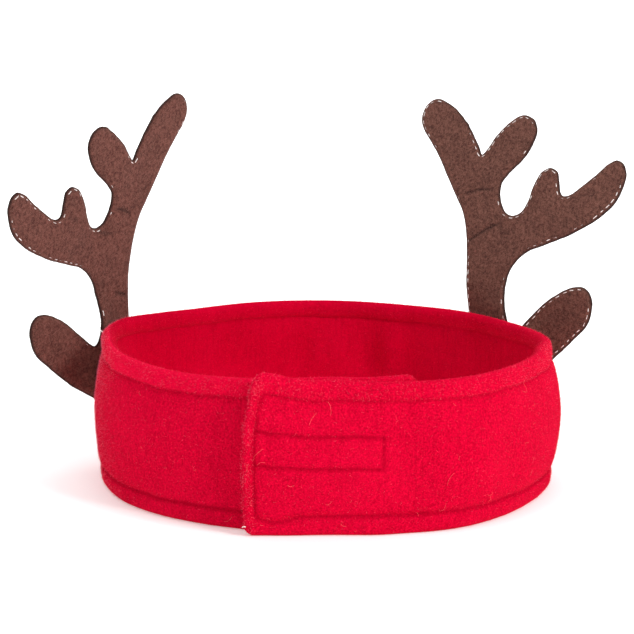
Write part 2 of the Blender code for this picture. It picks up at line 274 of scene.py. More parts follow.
def graded(start: float, stop: float, spots: list[float], fine: float, coarse: float, reach: float) -> Array:
    """Places from start to stop whose spacing narrows from coarse to fine near each spot.

    The count of steps up to a place is the running sum of one over the spacing, and it is read backwards.

    Args:
        start: The first place.
        stop: The last place.
        spots: Where the spacing is finest.
        fine: The spacing at a spot.
        coarse: The spacing far from every spot.
        reach: How far a spot is felt.

    Returns:
        The places, rising, with both ends among them.
    """
    line = np.linspace(start, stop, 6000)
    near = np.max([bell(line - spot, reach) for spot in spots], axis=0)
    rate = 1 / (coarse - (coarse - fine) * near)
    count = np.concatenate([[0.0], np.cumsum((rate[1:] + rate[:-1]) / 2 * np.diff(line))])
    steps = max(2, round(count[-1]))
    return np.interp(np.linspace(0, count[-1], steps + 1), count, line)


def round_the_band(column: PlanColumn, angle: Array) -> Array:
    """A column of the band's plan at any angle, on a smooth closed curve through its rows.

    Between two rows the curve is a cubic with the slope of the chord between each row's neighbours.

    Args:
        column: Which column of BAND_PLAN is read.
        angle: Angles in degrees, of any size.

    Returns:
        The column's value at each angle.
    """
    table = np.array(BAND_PLAN)[:, [0, column.value]]
    turn = np.array([FULL_TURN, 0.0])
    ring = np.vstack([table[-2:] - turn, table, table[:2] + turn])
    turned = np.mod(angle, FULL_TURN)
    i = np.searchsorted(ring[:, 0], turned, side="right") - 1
    a0, a1, a2, a3 = (ring[i + k, 0] for k in (-1, 0, 1, 2))
    v0, v1, v2, v3 = (ring[i + k, 1] for k in (-1, 0, 1, 2))
    t = (turned - a1) / (a2 - a1)
    slope1 = (v2 - v0) / (a2 - a0) * (a2 - a1)
    slope2 = (v3 - v1) / (a3 - a1) * (a2 - a1)
    value = (2 * t**3 - 3 * t**2 + 1) * v1 + (3 * t**2 - 2 * t**3) * v2
    return value + (t**3 - 2 * t**2 + t) * slope1 + (t**3 - t**2) * slope2


def signed_volume(points: Array, faces: list[Array]) -> float:
    """Six times the volume inside the faces, each cut into a fan of triangles.

    Args:
        points: The points, one row each.
        faces: Arrays of corner numbers, one array for each number of corners.

    Returns:
        Six times the volume, negative when the faces point in.
    """
    total = 0.0
    for group in faces:
        for k in range(1, group.shape[1] - 1):
            a, b, c = points[group[:, 0]], points[group[:, k]], points[group[:, k + 1]]
            total += float((a * np.cross(b, c)).sum())
    return total


def grid_faces(numbers: Array) -> Array:
    """The four-cornered faces of a grid of point numbers. The grid turned over gives them turned over."""
    corners = [numbers[:-1, :-1], numbers[:-1, 1:], numbers[1:, 1:], numbers[1:, :-1]]
    return np.stack(corners, axis=-1).reshape(-1, 4)


def gather(parts: list[tuple[Array, list[Array]]]) -> tuple[Array, list[Array]]:
    """Several surfaces as one: each one's corner numbers move up by the number of points before it.

    Args:
        parts: The points and the faces of each surface.

    Returns:
        The points and the faces of all.
    """
    starts = np.cumsum([0] + [len(points) for points, _ in parts[:-1]])
    moved = [[group + start for group in faces] for (_, faces), start in zip(parts, starts)]
    return np.concatenate([points for points, _ in parts]), [np.vstack(groups) for groups in zip(*moved)]


def make_piece(name: str, points: Array, faces: list[Array], material: Material) -> Piece:
    """A smooth-shaded closed piece, at the origin, that rides on the body.

    Args:
        name: The piece's name.
        points: Its points in the row frame, one row each.
        faces: Arrays of corner numbers, one array for each number of corners.
        material: Its material.

    Returns:
        The new object, with its faces pointing out.
    """
    if signed_volume(points, faces) < 0:
        faces = [group[:, ::-1] for group in faces]
    corners = np.concatenate([group.ravel() for group in faces]).astype(np.int32)
    sizes = np.concatenate([np.full(len(group), group.shape[1]) for group in faces])
    mesh = bpy.data.meshes.new(name)
    mesh.vertices.add(len(points))
    mesh.vertices.foreach_set("co", points.astype(np.float32).ravel())
    mesh.loops.add(len(corners))
    mesh.loops.foreach_set("vertex_index", corners)
    mesh.polygons.add(len(sizes))
    mesh.polygons.foreach_set("loop_start", np.concatenate([[0], np.cumsum(sizes)[:-1]]).astype(np.int32))
    mesh.polygons.foreach_set("use_smooth", np.ones(len(sizes), bool))
    mesh.update(calc_edges=True)
    mesh.materials.append(material)
    made = bpy.data.objects.new(name, mesh)
    bpy.context.scene.collection.objects.link(made)
    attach(made, ROOT_BODY)
    return made


def set_map(piece: Piece, name: str, places: Array) -> None:
    """Gives a piece a UV map of its own from one flat place for each point."""
    corners = np.zeros(len(piece.data.loops), np.int32)
    piece.data.loops.foreach_get("vertex_index", corners)
    layer = piece.data.uv_layers.new(name=name)
    layer.uv.foreach_set("vector", places[corners].astype(np.float32).ravel())


def set_value(piece: Piece, name: str, values: Array) -> None:
    """Gives a piece a named number for each point, for its material to read."""
    made = piece.data.attributes.new(name, "FLOAT", "POINT")
    made.data.foreach_set("value", values.astype(np.float32))


def spikes(roots: Array, tips: Array, width: float) -> tuple[Array, list[Array]]:
    """Fibres, each a closed three-sided spike: three corners round its root and one at its tip.

    Args:
        roots: Where each fibre starts.
        tips: Where each fibre ends.
        width: How far each corner of the root lies from its middle.

    Returns:
        The points and the faces.
    """
    along = unit(tips - roots)
    across = unit(np.cross(along, np.array(ASIDE)))
    other = np.cross(along, across)
    turns = np.arange(3) * 2 * np.pi / 3
    ring = across[:, None] * np.cos(turns)[None, :, None] + other[:, None] * np.sin(turns)[None, :, None]
    points = np.concatenate([roots[:, None] + width * ring, tips[:, None]], axis=1).reshape(-1, 3)
    first = np.arange(len(roots))[:, None] * 4
    sides = [first + np.array([k, (k + 1) % 3, 3]) for k in range(3)]
    return points, [np.vstack(sides + [first + np.array([0, 2, 1])])]


def tubes(paths: Array, radii: Array, sides: int, normals: Array) -> tuple[Array, list[Array]]:
    """Closed tubes: a ring of points round each point of each path, with a flat cap at both ends.

    Args:
        paths: Points of the paths: path, step, axis.
        radii: The radius at each step: path, step.
        sides: How many corners a ring has.
        normals: A direction for each path that isn't along it.

    Returns:
        The points and the faces.
    """
    count, steps, _ = paths.shape
    along = unit(np.gradient(paths, axis=1))
    across = unit(np.cross(along, normals[:, None]))
    other = np.cross(across, along)
    turns = np.arange(sides) * 2 * np.pi / sides
    ring = across[:, :, None] * np.cos(turns)[:, None] + other[:, :, None] * np.sin(turns)[:, None]
    points = (paths[:, :, None] + radii[:, :, None, None] * ring).reshape(-1, 3)
    first = (np.arange(count) * steps * sides)[:, None, None]
    step = (np.arange(steps - 1) * sides)[None, :, None]
    k = np.arange(sides)[None, None]
    after = (k + 1) % sides
    low = first + step
    high = low + sides
    quads = np.stack([low + k, low + after, high + after, high + k])
    start = first[:, 0] + np.arange(sides)[::-1]
    end = first[:, 0] + (steps - 1) * sides + np.arange(sides)
    return points, [quads.reshape(4, -1).T, np.vstack([start, end])]


def threads(places: Array, along: Array, normals: Array, length: Array, radius: float,
            lift: Array) -> tuple[Array, list[Array]]:
    """Stitches that show: short threads that rise out of the cloth and dive back into it.

    A stitch's middle stands lift above the cloth. It falls away with the sixth power of the share of its half
    length, and its radius shrinks with it.

    Args:
        places: The middle of each stitch, on the cloth's face.
        along: The direction of each stitch.
        normals: The direction out of the cloth.
        length: Each stitch's length.
        radius: The thread's radius.
        lift: How far each stitch's middle stands above the face.

    Returns:
        The points and the faces.
    """
    share = np.linspace(-1, 1, THREAD_STEPS)
    fall = share**THREAD_POWER
    reach = share[None, :, None] * (length / 2)[:, None, None] * along[:, None]
    rise = (lift[:, None] - THREAD_DIVE * radius * fall[None])[:, :, None] * normals[:, None]
    radii = np.tile(radius * (1 - THREAD_TAPER * fall), (len(places), 1))
    return tubes(places[:, None] + reach + rise, radii, THREAD_SIDES, normals)


# Materials


def linear(code: str) -> tuple[float, float, float, float]:
    """The linear colour of an sRGB hex code, opaque."""
    shares = [int(code[i : i + 2], 16) / 255 for i in (1, 3, 5)]
    values = [s / 12.92 if s <= 0.04045 else ((s + 0.055) / 1.055) ** 2.4 for s in shares]
    return (*values, 1.0)


def add(tree: Tree, kind: str, settings: dict | None = None, links: dict | None = None) -> bpy.types.Node:
    """Adds a node, sets its properties and inputs, and links what feeds its inputs.

    Args:
        tree: The material's node tree.
        kind: The node's type.
        settings: Values by the name of a property, or by the name or number of an input.
        links: Output sockets by the name or number of the input that they feed.

    Returns:
        The node.
    """
    node = tree.nodes.new(kind)
    for key, value in (settings or {}).items():
        if isinstance(key, str) and hasattr(node, key):
            setattr(node, key, value)
        else:
            node.inputs[key].default_value = value
    for key, output in (links or {}).items():
        tree.links.new(output, node.inputs[key])
    return node


def new_material(name: str) -> tuple[Material, Tree, bpy.types.Node]:
    """A material with its node tree and its Principled shader."""
    material = bpy.data.materials.new(name)
    material.use_nodes = True
    return material, material.node_tree, material.node_tree.nodes["Principled BSDF"]


def blend_colours(tree: Tree, factor: Socket | float, first: Socket | tuple,
                  second: Socket | tuple) -> Socket:
    """The output of a colour mix. The factor and both colours are outputs or fixed values."""
    settings = {"data_type": "RGBA", "blend_type": "MIX"}
    links = {}
    for key, value in ((0, factor), (6, first), (7, second)):
        if isinstance(value, Socket):
            links[key] = value
        else:
            settings[key] = value
    return add(tree, "ShaderNodeMix", settings, links).outputs[2]


def noise(tree: Tree, scale: float, place: Socket, **settings: float) -> Socket:
    """The output of a noise pattern that repeats about this many times a metre."""
    return add(tree, "ShaderNodeTexNoise", {"Scale": scale, **settings}, {"Vector": place}).outputs["Fac"]


def object_place(tree: Tree) -> Socket:
    """The output that gives each point's place on its piece, in metres."""
    return add(tree, "ShaderNodeTexCoord").outputs["Object"]


def own_value(tree: Tree, name: str) -> Socket:
    """The output that reads a named number from the piece's points."""
    return add(tree, "ShaderNodeAttribute", {"attribute_name": name}).outputs["Fac"]


def spread_out(tree: Tree, value: Socket, low: float, high: float, start: float = 0.0,
               stop: float = 1.0) -> Socket:
    """The output of a Map Range that takes low to start and high to stop, and goes no further."""
    settings = {"From Min": low, "From Max": high, "To Min": start, "To Max": stop}
    return add(tree, "ShaderNodeMapRange", settings, {"Value": value}).outputs["Result"]


def tint(tree: Tree, colour: Socket, layers: tuple) -> Socket:
    """A colour with tones laid over it in turn.

    Args:
        tree: The material's node tree.
        colour: The output of the colour underneath.
        layers: For each tone the output that says where it shows, the low and high end of what is read,
            the tone's share at both ends, and its hex code.

    Returns:
        The output of the last mix.
    """
    for value, low, high, start, stop, tone in layers:
        colour = blend_colours(tree, spread_out(tree, value, low, high, start, stop), colour, linear(tone))
    return colour


def bump(tree: Tree, height: Socket, strength: float, distance: float, under: Socket | None = None,
         **settings: bool) -> Socket:
    """The output of a bump.

    Args:
        tree: The material's node tree.
        height: The pattern that raises the surface.
        strength: How much of the bump shows.
        distance: How high it is.
        under: The output of a bump that this one lies on.
        **settings: The node's own properties.

    Returns:
        The output with the bent normal.
    """
    links = {"Height": height}
    if under is not None:
        links["Normal"] = under
    settings = {"Strength": strength, "Distance": distance, **settings}
    return add(tree, "ShaderNodeBump", settings, links).outputs["Normal"]


def set_shader(tree: Tree, shader: bpy.types.Node, links: dict[str, Socket], values: dict) -> None:
    """Links what feeds the shader's sockets, and sets constant values on its other sockets."""
    for name, output in links.items():
        tree.links.new(output, shader.inputs[name])
    for name, value in values.items():
        shader.inputs[name].default_value = value


@dataclass(frozen=True)
class NappedFleece:
    """Polyester fleece, knitted and brushed: a soft matt pile, with painted highlight at its tips and painted
    shade between its tufts.
    """

    colour: str = "#DE002C"
    # deep is painted shade between the tufts and inside the ring, and the dark of clumps and wales; pale is
    # painted light on the tufts' tips, in the drift and on the upper hem
    deep: str = "#900018"
    pale: str = "#FC0E42"
    # The painted shade in the stitched grooves
    seam: str = "#8A0018"
    sheen: str = "#FF7088"
    tuft: float = 0.72 * MM
    clump: float = 3.0 * MM
    wale: float = 1.2 * MM
    wale_stretch: float = 0.08
    drift_scale: float = 38.0

    def dress(self) -> Material:
        """Tufts and clumps of pile from noise, faint wales up the strip, and painted shade in the stitched
        grooves.

        Two values on the piece carry painted light and shade. The first darkens the pile inside the ring and
        evens it out, and pales the upper hem at the ring's left; the second darkens the stitched grooves.

        Returns:
            The material.
        """
        material, tree, shader = new_material("fleece_polyester_brushed")
        place = object_place(tree)
        strip = add(tree, "ShaderNodeUVMap", {"uv_map": "strip"}).outputs["UV"]
        tufts = noise(tree, 1 / self.tuft, place, Detail=4.0, Roughness=0.7)
        clumps = noise(tree, 1 / self.clump, place, Detail=3.0, Distortion=0.6)
        wale_scale = (1 / self.wale, self.wale_stretch / self.wale, 1.0)
        stretched = add(tree, "ShaderNodeMapping", {"Scale": wale_scale}, {"Vector": strip}).outputs["Vector"]
        wales = noise(tree, 1.0, stretched, Detail=2.0)
        drift = noise(tree, self.drift_scale, place, Detail=2.0)
        raised = own_value(tree, "raised")
        groove = own_value(tree, "groove")

        # Painted highlight on the tips of the tufts, and painted shade between them
        colour = blend_colours(tree, spread_out(tree, tufts, 0.3, 0.7), linear(self.deep), linear(self.pale))
        colour = tint(tree, colour, (
            # Painted shade inside the ring: the pile there is evened out and a little darker
            (raised, 0.0, 1.0, 0.90, 0.26, self.colour),
            (raised, 0.45, 1.0, 0.26, 0.0, self.deep),
            # Clumps of pile and the knit's wales show as soft dark patches, and the light drifts over them
            (clumps, 0.45, 0.75, 0.0, 0.16, self.deep),
            (wales, 0.5, 0.72, 0.0, 0.22, self.deep),
            (drift, 0.4, 0.7, 0.0, 0.15, self.pale),
            # Painted light pales the upper hem at the ring's left, and painted shade darkens the stitched
            # grooves
            (raised, 1.0, 1.5, 0.0, 0.50, self.pale),
            (groove, 0.10, 1.0, 0.0, 0.42, self.seam),
        ))
        coarse = bump(tree, clumps, 0.5, 0.6 * MM)
        fine = bump(tree, tufts, 0.85, 0.45 * MM, coarse)
        set_shader(tree, shader, {"Base Color": colour, "Normal": fine}, {
            "Roughness": 0.95,
            "Specular IOR Level": 0.0,
            "Sheen Weight": 0.12,
            "Sheen Roughness": 0.35,
            "Sheen Tint": linear(self.sheen),
        })
        return material


@dataclass(frozen=True)
class LooseFibre:
    """Single polyester fibres that stand off the cloth, plain and matt; the paler nap of the fleece is painted
    highlight and sheen.
    """

    name: str
    colour: str
    sheen: float = 0.0

    def dress(self) -> Material:
        """One even colour, because a fibre is thinner than any pattern that would show."""
        material, tree, shader = new_material(self.name)
        set_shader(tree, shader, {}, {
            "Base Color": linear(self.colour),
            "Roughness": 0.8,
            "Specular IOR Level": 0.05,
            "Sheen Weight": self.sheen,
        })
        return material


@dataclass(frozen=True)
class NeedledFelt:
    """Craft felt, needled from dyed fibres: a matt mat of tangled brown fibres, some reddish, some dark."""

    name: str
    colour: str
    dark: str
    light: str
    # The painted shade of the creases and of the cut edge
    edge: str = "#281715"
    sheen: str = "#C9A090"
    even_share: float = 0.42
    blotch: float = 1.35 * MM
    cloud: float = 9.0 * MM
    fibre_width: float = 0.40 * MM
    fibre_length: float = 2.8 * MM
    # Which way each layer of fibres runs, in degrees, and how far its pattern is moved
    fibre_layers: tuple[tuple[float, float], ...] = ((78, 0.0), (105, 3.1), (20, 7.7), (140, 11.3))

    def fibres(self, tree: Tree) -> list[Socket]:
        """Layers of fibres, each a noise stretched along its own direction and curled a little.

        Args:
            tree: The material's node tree.

        Returns:
            The output of each layer.
        """
        flat = add(tree, "ShaderNodeUVMap", {"uv_map": "cut"}).outputs["UV"]
        size = (1 / self.fibre_length, 1 / self.fibre_width, 1.0)
        layers = []
        for turn, shift in self.fibre_layers:
            settings = {"Rotation": (0, 0, math.radians(turn)), "Location": (shift, shift, 0)}
            turned = add(tree, "ShaderNodeMapping", settings, {"Vector": flat}).outputs["Vector"]
            stretched = add(tree, "ShaderNodeMapping", {"Scale": size}, {"Vector": turned}).outputs["Vector"]
            layers.append(noise(tree, 1.0, stretched, Detail=2.0, Distortion=1.4))
        return layers

    def dress(self) -> Material:
        """Crossed layers of fibres, blotched by two slower noises, and darkened by painted shade in the creases
        and along the cut edge.

        Returns:
            The material.
        """
        material, tree, shader = new_material(self.name)
        place = object_place(tree)
        fibres = self.fibres(tree)
        blotches = noise(tree, 1 / self.blotch, place, Detail=4.0, Roughness=0.62)
        clouds = noise(tree, 1 / self.cloud, place, Detail=2.0)

        # Small dark and light blotches, evened out by the dye, and wide darker clouds
        blotched = spread_out(tree, blotches, 0.36, 0.66)
        colour = blend_colours(tree, blotched, linear(self.dark), linear(self.light))
        colour = blend_colours(tree, self.even_share, colour, linear(self.colour))
        colour = tint(tree, colour, ((clouds, 0.45, 0.7, 0.0, 0.30, self.dark),))

        # Light and dark fibres by turns
        for k, output in enumerate(fibres):
            tone = self.light if k % 2 == 0 else self.dark
            colour = tint(tree, colour, ((output, 0.52, 0.68, 0.0, 0.55, tone),))
        # Painted shade: darker towards the edge colour in the creases and along the cut edge
        colour = blend_colours(tree, own_value(tree, "crease"), colour, linear(self.edge))

        rough = bump(tree, blotches, 0.5, 0.35 * MM)
        hairy = bump(tree, fibres[0], 0.5, 0.25 * MM, rough)
        hairy = bump(tree, fibres[2], 0.4, 0.25 * MM, hairy)
        set_shader(tree, shader, {"Base Color": colour, "Normal": hairy}, {
            "Roughness": 0.95,
            "Specular IOR Level": 0.2,
            "Sheen Weight": 0.25,
            "Sheen Roughness": 0.5,
            "Sheen Tint": linear(self.sheen),
        })
        return material


@dataclass(frozen=True)
class SpunThread:
    """Spun polyester sewing thread: two plies twisted together, with a faint gloss."""

    name: str
    colour: str
    shade: str
    twist: float = 0.45 * MM

    def dress(self) -> Material:
        """Slanting bands for the twist of the plies, which also raise the surface.

        Returns:
            The material.
        """
        material, tree, shader = new_material(self.name)
        scale = 1 / self.twist / (2 * math.pi)
        bands = {"Scale": scale, "Distortion": 1.0, "bands_direction": "DIAGONAL"}
        plies = add(tree, "ShaderNodeTexWave", bands, {"Vector": object_place(tree)}).outputs["Fac"]
        lit = spread_out(tree, plies, 0.1, 0.6)
        colour = blend_colours(tree, lit, linear(self.shade), linear(self.colour))
        links = {"Base Color": colour, "Normal": bump(tree, plies, 0.4, 0.08 * MM)}
        set_shader(tree, shader, links, {"Roughness": 0.6, "Sheen Weight": 0.2})
        return material


@dataclass(frozen=True)
class HookAndLoopTape:
    """Woven nylon tape with a field of hooks: ribbed, slightly glossy, the colour of the fleece."""

    colour: str = "#8E0A1C"
    shade: str = "#4A0410"
    hook: float = 1.5 * MM

    def dress(self) -> Material:
        """Rows of raised cells for the hooks, a row every hook's spacing.

        Returns:
            The material.
        """
        material, tree, shader = new_material("tape_nylon_hook_and_loop")
        settings = {"Scale": 1 / self.hook, "Randomness": 0.25}
        place = object_place(tree)
        cells = add(tree, "ShaderNodeTexVoronoi", settings, {"Vector": place}).outputs["Distance"]
        between = spread_out(tree, cells, 0.1, 0.6)
        colour = blend_colours(tree, between, linear(self.colour), linear(self.shade))
        links = {"Base Color": colour, "Normal": bump(tree, cells, 0.8, 0.4 * MM, invert=True)}
        set_shader(tree, shader, links, {"Roughness": 0.5})
        return material


@dataclass(frozen=True)
class StudioPaper:
    """Seamless background paper: smooth, matt and almost white."""

    colour: str = "#FAFAFA"
    shade: str = "#F6F6F6"
    cloud_scale: float = 3.0

    def dress(self) -> Material:
        """A trace of unevenness, and a glow that rises away from the object, as of paper with its own lamps.

        Returns:
            The material.
        """
        material, tree, shader = new_material("paper_seamless_white")
        place = object_place(tree)
        cloud = noise(tree, self.cloud_scale, place, Detail=1.0)
        colour = blend_colours(tree, cloud, linear(self.colour), linear(self.shade))
        away = add(tree, "ShaderNodeVectorMath", {"operation": "LENGTH"}, {0: place}).outputs["Value"]
        glow = spread_out(tree, away, 0.12, 0.9, 0.26, 0.70)
        links = {"Base Color": colour, "Emission Strength": glow}
        set_shader(tree, shader, links, {"Emission Color": linear(self.colour), "Roughness": 0.9})
        return material


# The band


@dataclass
class Strip:
    """The band's middle line, measured by length from the underlap's end to the flap's end."""

    radius: float = 0.090
    height: float = 0.0593
    bulge: float = 0.0044
    rim_wave: float = 0.0014
    hem_width: float = 0.0075
    layer_pitch: float = 0.0060
    flap_end: float = 380.3
    underlap_end: float = -22.5
    step_in_start: float = 3.0
    step_in_angle: float = 46.0
    corner_radius: float = 0.0042
    flap_rise: float = 0.0042
    flap_rise_length: float = 0.026
    flap_flare: float = 0.0016
    flap_flare_length: float = 0.010
    flap_slant: float = 0.0034
    flap_slant_length: float = 0.030
    underlap_rise: float = 0.0016
    underlap_rise_length: float = 0.028
    steps: int = 1400
    slope_step: float = 0.25

    def __post_init__(self) -> None:
        """Measures the middle line once."""
        self.angles = np.linspace(self.underlap_end, self.flap_end, self.steps + 1)
        line = self.wall_line(self.angles)
        lengths = np.linalg.norm(np.diff(line, axis=0), axis=1)
        self.lengths = np.concatenate([[0.0], np.cumsum(lengths)])
        self.length = float(self.lengths[-1])

    def wall_line(self, angle: Array) -> Array:
        """The wall's middle in plan: the plan's radius, less the underlap's step in, at each angle."""
        past_flap = angle - (self.flap_end - FULL_TURN)
        stepped_out = smooth_step((past_flap - self.step_in_start) / self.step_in_angle)
        radius = round_the_band(PlanColumn.RADIUS, angle) * self.radius - self.layer_pitch * (1 - stepped_out)
        turn = np.radians(angle)
        return np.stack([-np.sin(turn), -np.cos(turn)], axis=-1) * radius[..., None]

    def angle_at(self, length: Array) -> Array:
        """The angle round the band at a length along the strip."""
        return np.interp(length, self.lengths, self.angles)

    def length_at(self, angle: float) -> float:
        """The length along the strip at an angle round the band."""
        return float(np.interp(angle, self.angles, self.lengths))

    def frame_at(self, angle: Array) -> tuple[Array, Array, Array]:
        """The middle of the wall, the direction along it and the direction out of the ring."""
        ahead = unit(self.wall_line(angle + self.slope_step) - self.wall_line(angle - self.slope_step))
        outwards = np.stack([-ahead[..., 1], ahead[..., 0]], axis=-1)
        return self.wall_line(angle), ahead, outwards

    def edges_at(self, length: Array) -> tuple[Array, Array]:
        """The heights of both edges: corners are quarter circles, and both ends rise a little.

        Args:
            length: Length along the strip.

        Returns:
            The heights of the lower and of the upper edge.
        """
        to_flap = self.length - length
        reach = np.clip(self.corner_radius - np.minimum(length, to_flap), 0.0, self.corner_radius)
        corner = self.corner_radius - np.sqrt(self.corner_radius**2 - reach**2)
        rise = round_the_band(PlanColumn.RIM, self.angle_at(length)) * self.rim_wave
        rise = rise + self.flap_rise * smooth_step(1 - to_flap / self.flap_rise_length)
        rise = rise + self.underlap_rise * smooth_step(1 - length / self.underlap_rise_length)
        return corner, self.height + rise - corner

    def place(self, length: Array, height: Array, off: Array) -> Array:
        """A point of the wall: its middle line, bulged by a parabola over its height, and off by a distance.

        Args:
            length: Length along the strip.
            height: Height above the floor.
            off: Distance out from the wall's middle.

        Returns:
            Points in the row frame.
        """
        to_flap = self.length - length
        raised = np.maximum(0.0, height / self.height - 0.5) / 0.5
        slant = self.flap_slant * raised**2 * smooth_step(1 - to_flap / self.flap_slant_length)
        angle = self.angle_at(length - slant)
        middle, _, outwards = self.frame_at(angle)
        crown = 1 - ((height - self.height / 2) / (self.height / 2 - self.hem_width / 2)) ** 2
        bulge = round_the_band(PlanColumn.BULGE, angle) * self.bulge * np.maximum(0.0, crown)
        flare = self.flap_flare * smooth_step(1 - to_flap / self.flap_flare_length)
        flat = middle + outwards * (bulge + flare + off)[..., None]
        return np.concatenate([flat, height[..., None]], axis=-1) + np.array(PLAN_SHIFT)


@dataclass
class FleeceBand:
    """The strip of doubled fleece, with puffed hems inside sunken rows of topstitching."""

    strip: Strip
    hem_thickness: float = 0.0056
    body_thickness: float = 0.0036
    end_hem_width: float = 0.0045
    round_share: float = 0.40
    groove_width: float = 0.85 * MM
    groove_depth: float = 0.80 * MM
    dip_width: float = 2.2 * MM
    dip_depth: float = 0.45 * MM
    upper_share: float = 0.75
    inside_share: float = 0.45
    seam_sway: float = 0.30 * MM
    corner_dip: float = 0.36
    corner_dip_place: float = 12.0 * MM
    corner_dip_reach: float = 7.0 * MM
    end_lumps: float = 0.14
    end_sway: float = 0.55 * MM
    end_sway_wave: float = 0.016
    seam_wave: float = 0.031
    box_waves: tuple[float, float] = (0.023, 0.017)
    hem_lumps: float = 0.06
    lump_wave: float = 0.026
    end_lump_wave: float = 0.011
    slow_swell: float = 0.18 * MM
    slow_waves: tuple[float, float] = (0.061, 0.047)
    thinnest: float = 0.3 * MM
    # How much painted light pales the upper hem
    painted_hem_light_rise: float = 0.5
    line_corner: float = 0.5
    slope_step: float = 0.3 * MM
    box_length: float = 0.0482
    box_height: float = 0.0123
    box_middle: float = 0.0321
    box_depth: float = 0.75 * MM
    row_spacing: float = 1.1 * MM
    column_spacing: float = 1.6 * MM
    fine_spacing: float = 0.30 * MM
    fine_reach: tuple[float, float] = (1.4 * MM, 1.1 * MM)
    edge_steps: int = 7

    def columns(self) -> Array:
        """Lengths along the strip: on a quarter circle's steps at both ends, then finer at stitched lines."""
        end = self.round_share * self.end_hem_width
        turn = np.linspace(0, np.pi / 2, self.edge_steps)
        start = end * (1 - np.cos(turn))
        flap_seam = self.strip.length - self.end_hem_width
        spots = [self.end_hem_width, flap_seam, flap_seam - self.box_length]
        stop = self.strip.length - end
        middle = graded(end, stop, spots, self.fine_spacing, self.column_spacing, self.fine_reach[0])
        return np.concatenate([start, middle[1:-1], self.strip.length - start[::-1]])

    def rows(self) -> Array:
        """Heights on a wall with straight edges: a quarter circle's steps at the edges, finer at stitches."""
        hem, height = self.strip.hem_width, self.strip.height
        edge = self.round_share * hem
        turn = np.linspace(0, np.pi / 2, self.edge_steps)
        start = edge * (1 - np.cos(turn))
        half = self.box_height / 2
        spots = [hem, height - hem, self.box_middle - half, self.box_middle + half]
        stop = height - edge
        middle = graded(edge, stop, spots, self.fine_spacing, self.row_spacing, self.fine_reach[1])
        return np.concatenate([start, middle[1:-1], height - start[::-1]])

    def edge_share(self, length: Array, row: Array) -> Array:
        """The distance from the nearest edge as a share of the hem there.

        It is the smaller of the shares from an end and from an edge. A parabola rounds it where both are
        alike.

        Args:
            length: Length along the strip.
            row: Height on a wall with straight edges.

        Returns:
            The share: 0 at an edge, 1 on the line that is stitched.
        """
        to_flap = self.strip.length - length
        low = smooth_step((self.strip.height / 2 - row) / (10 * MM))
        dip = self.corner_dip * low * bell(to_flap - self.corner_dip_place, self.corner_dip_reach)
        hem = self.strip.hem_width * (1 - dip) + self.seam_sway * wander(length + row, self.seam_wave)
        to_end = np.minimum(length, to_flap) / self.end_hem_width
        to_edge = np.minimum(row, self.strip.height - row) / hem
        near = np.maximum(0.0, 1 - np.abs(to_end - to_edge) / self.line_corner)
        rounding = near**2 * self.line_corner / 4 * np.minimum(1, to_edge + to_end)
        return np.maximum(0.0, np.minimum(to_end, to_edge) - rounding)

    def box_distance(self, length: Array, row: Array) -> Array:
        """The distance from the three stitched sides of the box on the flap, which sway a little.

        Args:
            length: Length along the strip.
            row: Height on a wall with straight edges.

        Returns:
            The distance at each point.
        """
        right = self.strip.length - self.end_hem_width
        left = right - self.box_length
        row = row + self.seam_sway * wander(length, self.box_waves[0])
        length = length + 0.4 * self.seam_sway * wander(row, self.box_waves[1])
        across = np.maximum(0.0, np.maximum(left - length, length - right))
        level = np.abs(np.abs(row - self.box_middle) - self.box_height / 2)
        up = np.maximum(0.0, np.abs(row - self.box_middle) - self.box_height / 2)
        return np.minimum(np.hypot(across, level), np.hypot(length - left, up))

    def pull(self, length: Array, row: Array) -> Array:
        """How hard a row of stitches pulls: the row under the upper edge is sewn looser towards the front."""
        front = 0.5 + 0.5 * np.cos(np.radians(self.strip.angle_at(length)))
        return 1 - (1 - self.upper_share) * front * smooth_step((row - 0.7 * self.strip.height) / (5 * MM))

    def painted_hem_light(self, length: Array, row: Array) -> Array:
        """How much painted light pales the upper hem: most at the ring's left, not at all at its right."""
        left = np.maximum(0.0, np.sin(np.radians(self.strip.angle_at(length))))
        return left * smooth_step((row - self.strip.height + self.strip.hem_width) / (1.5 * MM))

    def groove(self, length: Array, row: Array) -> Array:
        """How near a point is to a stitched line, 1 on it and 0 away from it."""
        share = self.edge_share(length, row)
        hem = bell((share - 1) * self.strip.hem_width, self.groove_width) * self.pull(length, row)
        return np.maximum(hem, bell(self.box_distance(length, row), self.groove_width))

    def half(self, length: Array, row: Array) -> Array:
        """Half the wall's thickness: a quarter ellipse at the edge, the hem, then the body, less the grooves.

        Args:
            length: Length along the strip.
            row: Height on a wall with straight edges.

        Returns:
            The half thickness at each point, 0 along the strip's edges.
        """
        share = self.edge_share(length, row)
        at_end = smooth_step(1 - (self.strip.length - length) / self.end_hem_width)
        puff = 1 + self.hem_lumps * wander(length + 0.4 * row, self.lump_wave)
        puff = puff + self.end_lumps * at_end * wander(row, self.end_lump_wave)
        rounded = np.sqrt(np.maximum(0.0, 1 - np.maximum(0.0, 1 - share / self.round_share) ** 2))
        hem = self.hem_thickness / 2 * puff * (1 - 0.10 * smooth_step((share - 0.4) / 0.5))
        past = smooth_step((share - 0.88) / 0.26)
        thick = hem * (1 - past) + self.body_thickness / 2 * past
        distance = (share - 1) * self.strip.hem_width
        row_depth = self.groove_depth * bell(distance, self.groove_width)
        row_depth = row_depth + self.dip_depth * bell(distance, self.dip_width)
        box = self.box_distance(length, row)
        box_depth = self.box_depth * (bell(box, self.groove_width) + 0.35 * bell(box, self.dip_width))
        sunk = row_depth * self.pull(length, row) + box_depth
        return rounded * np.maximum(thick - sunk, self.thinnest)

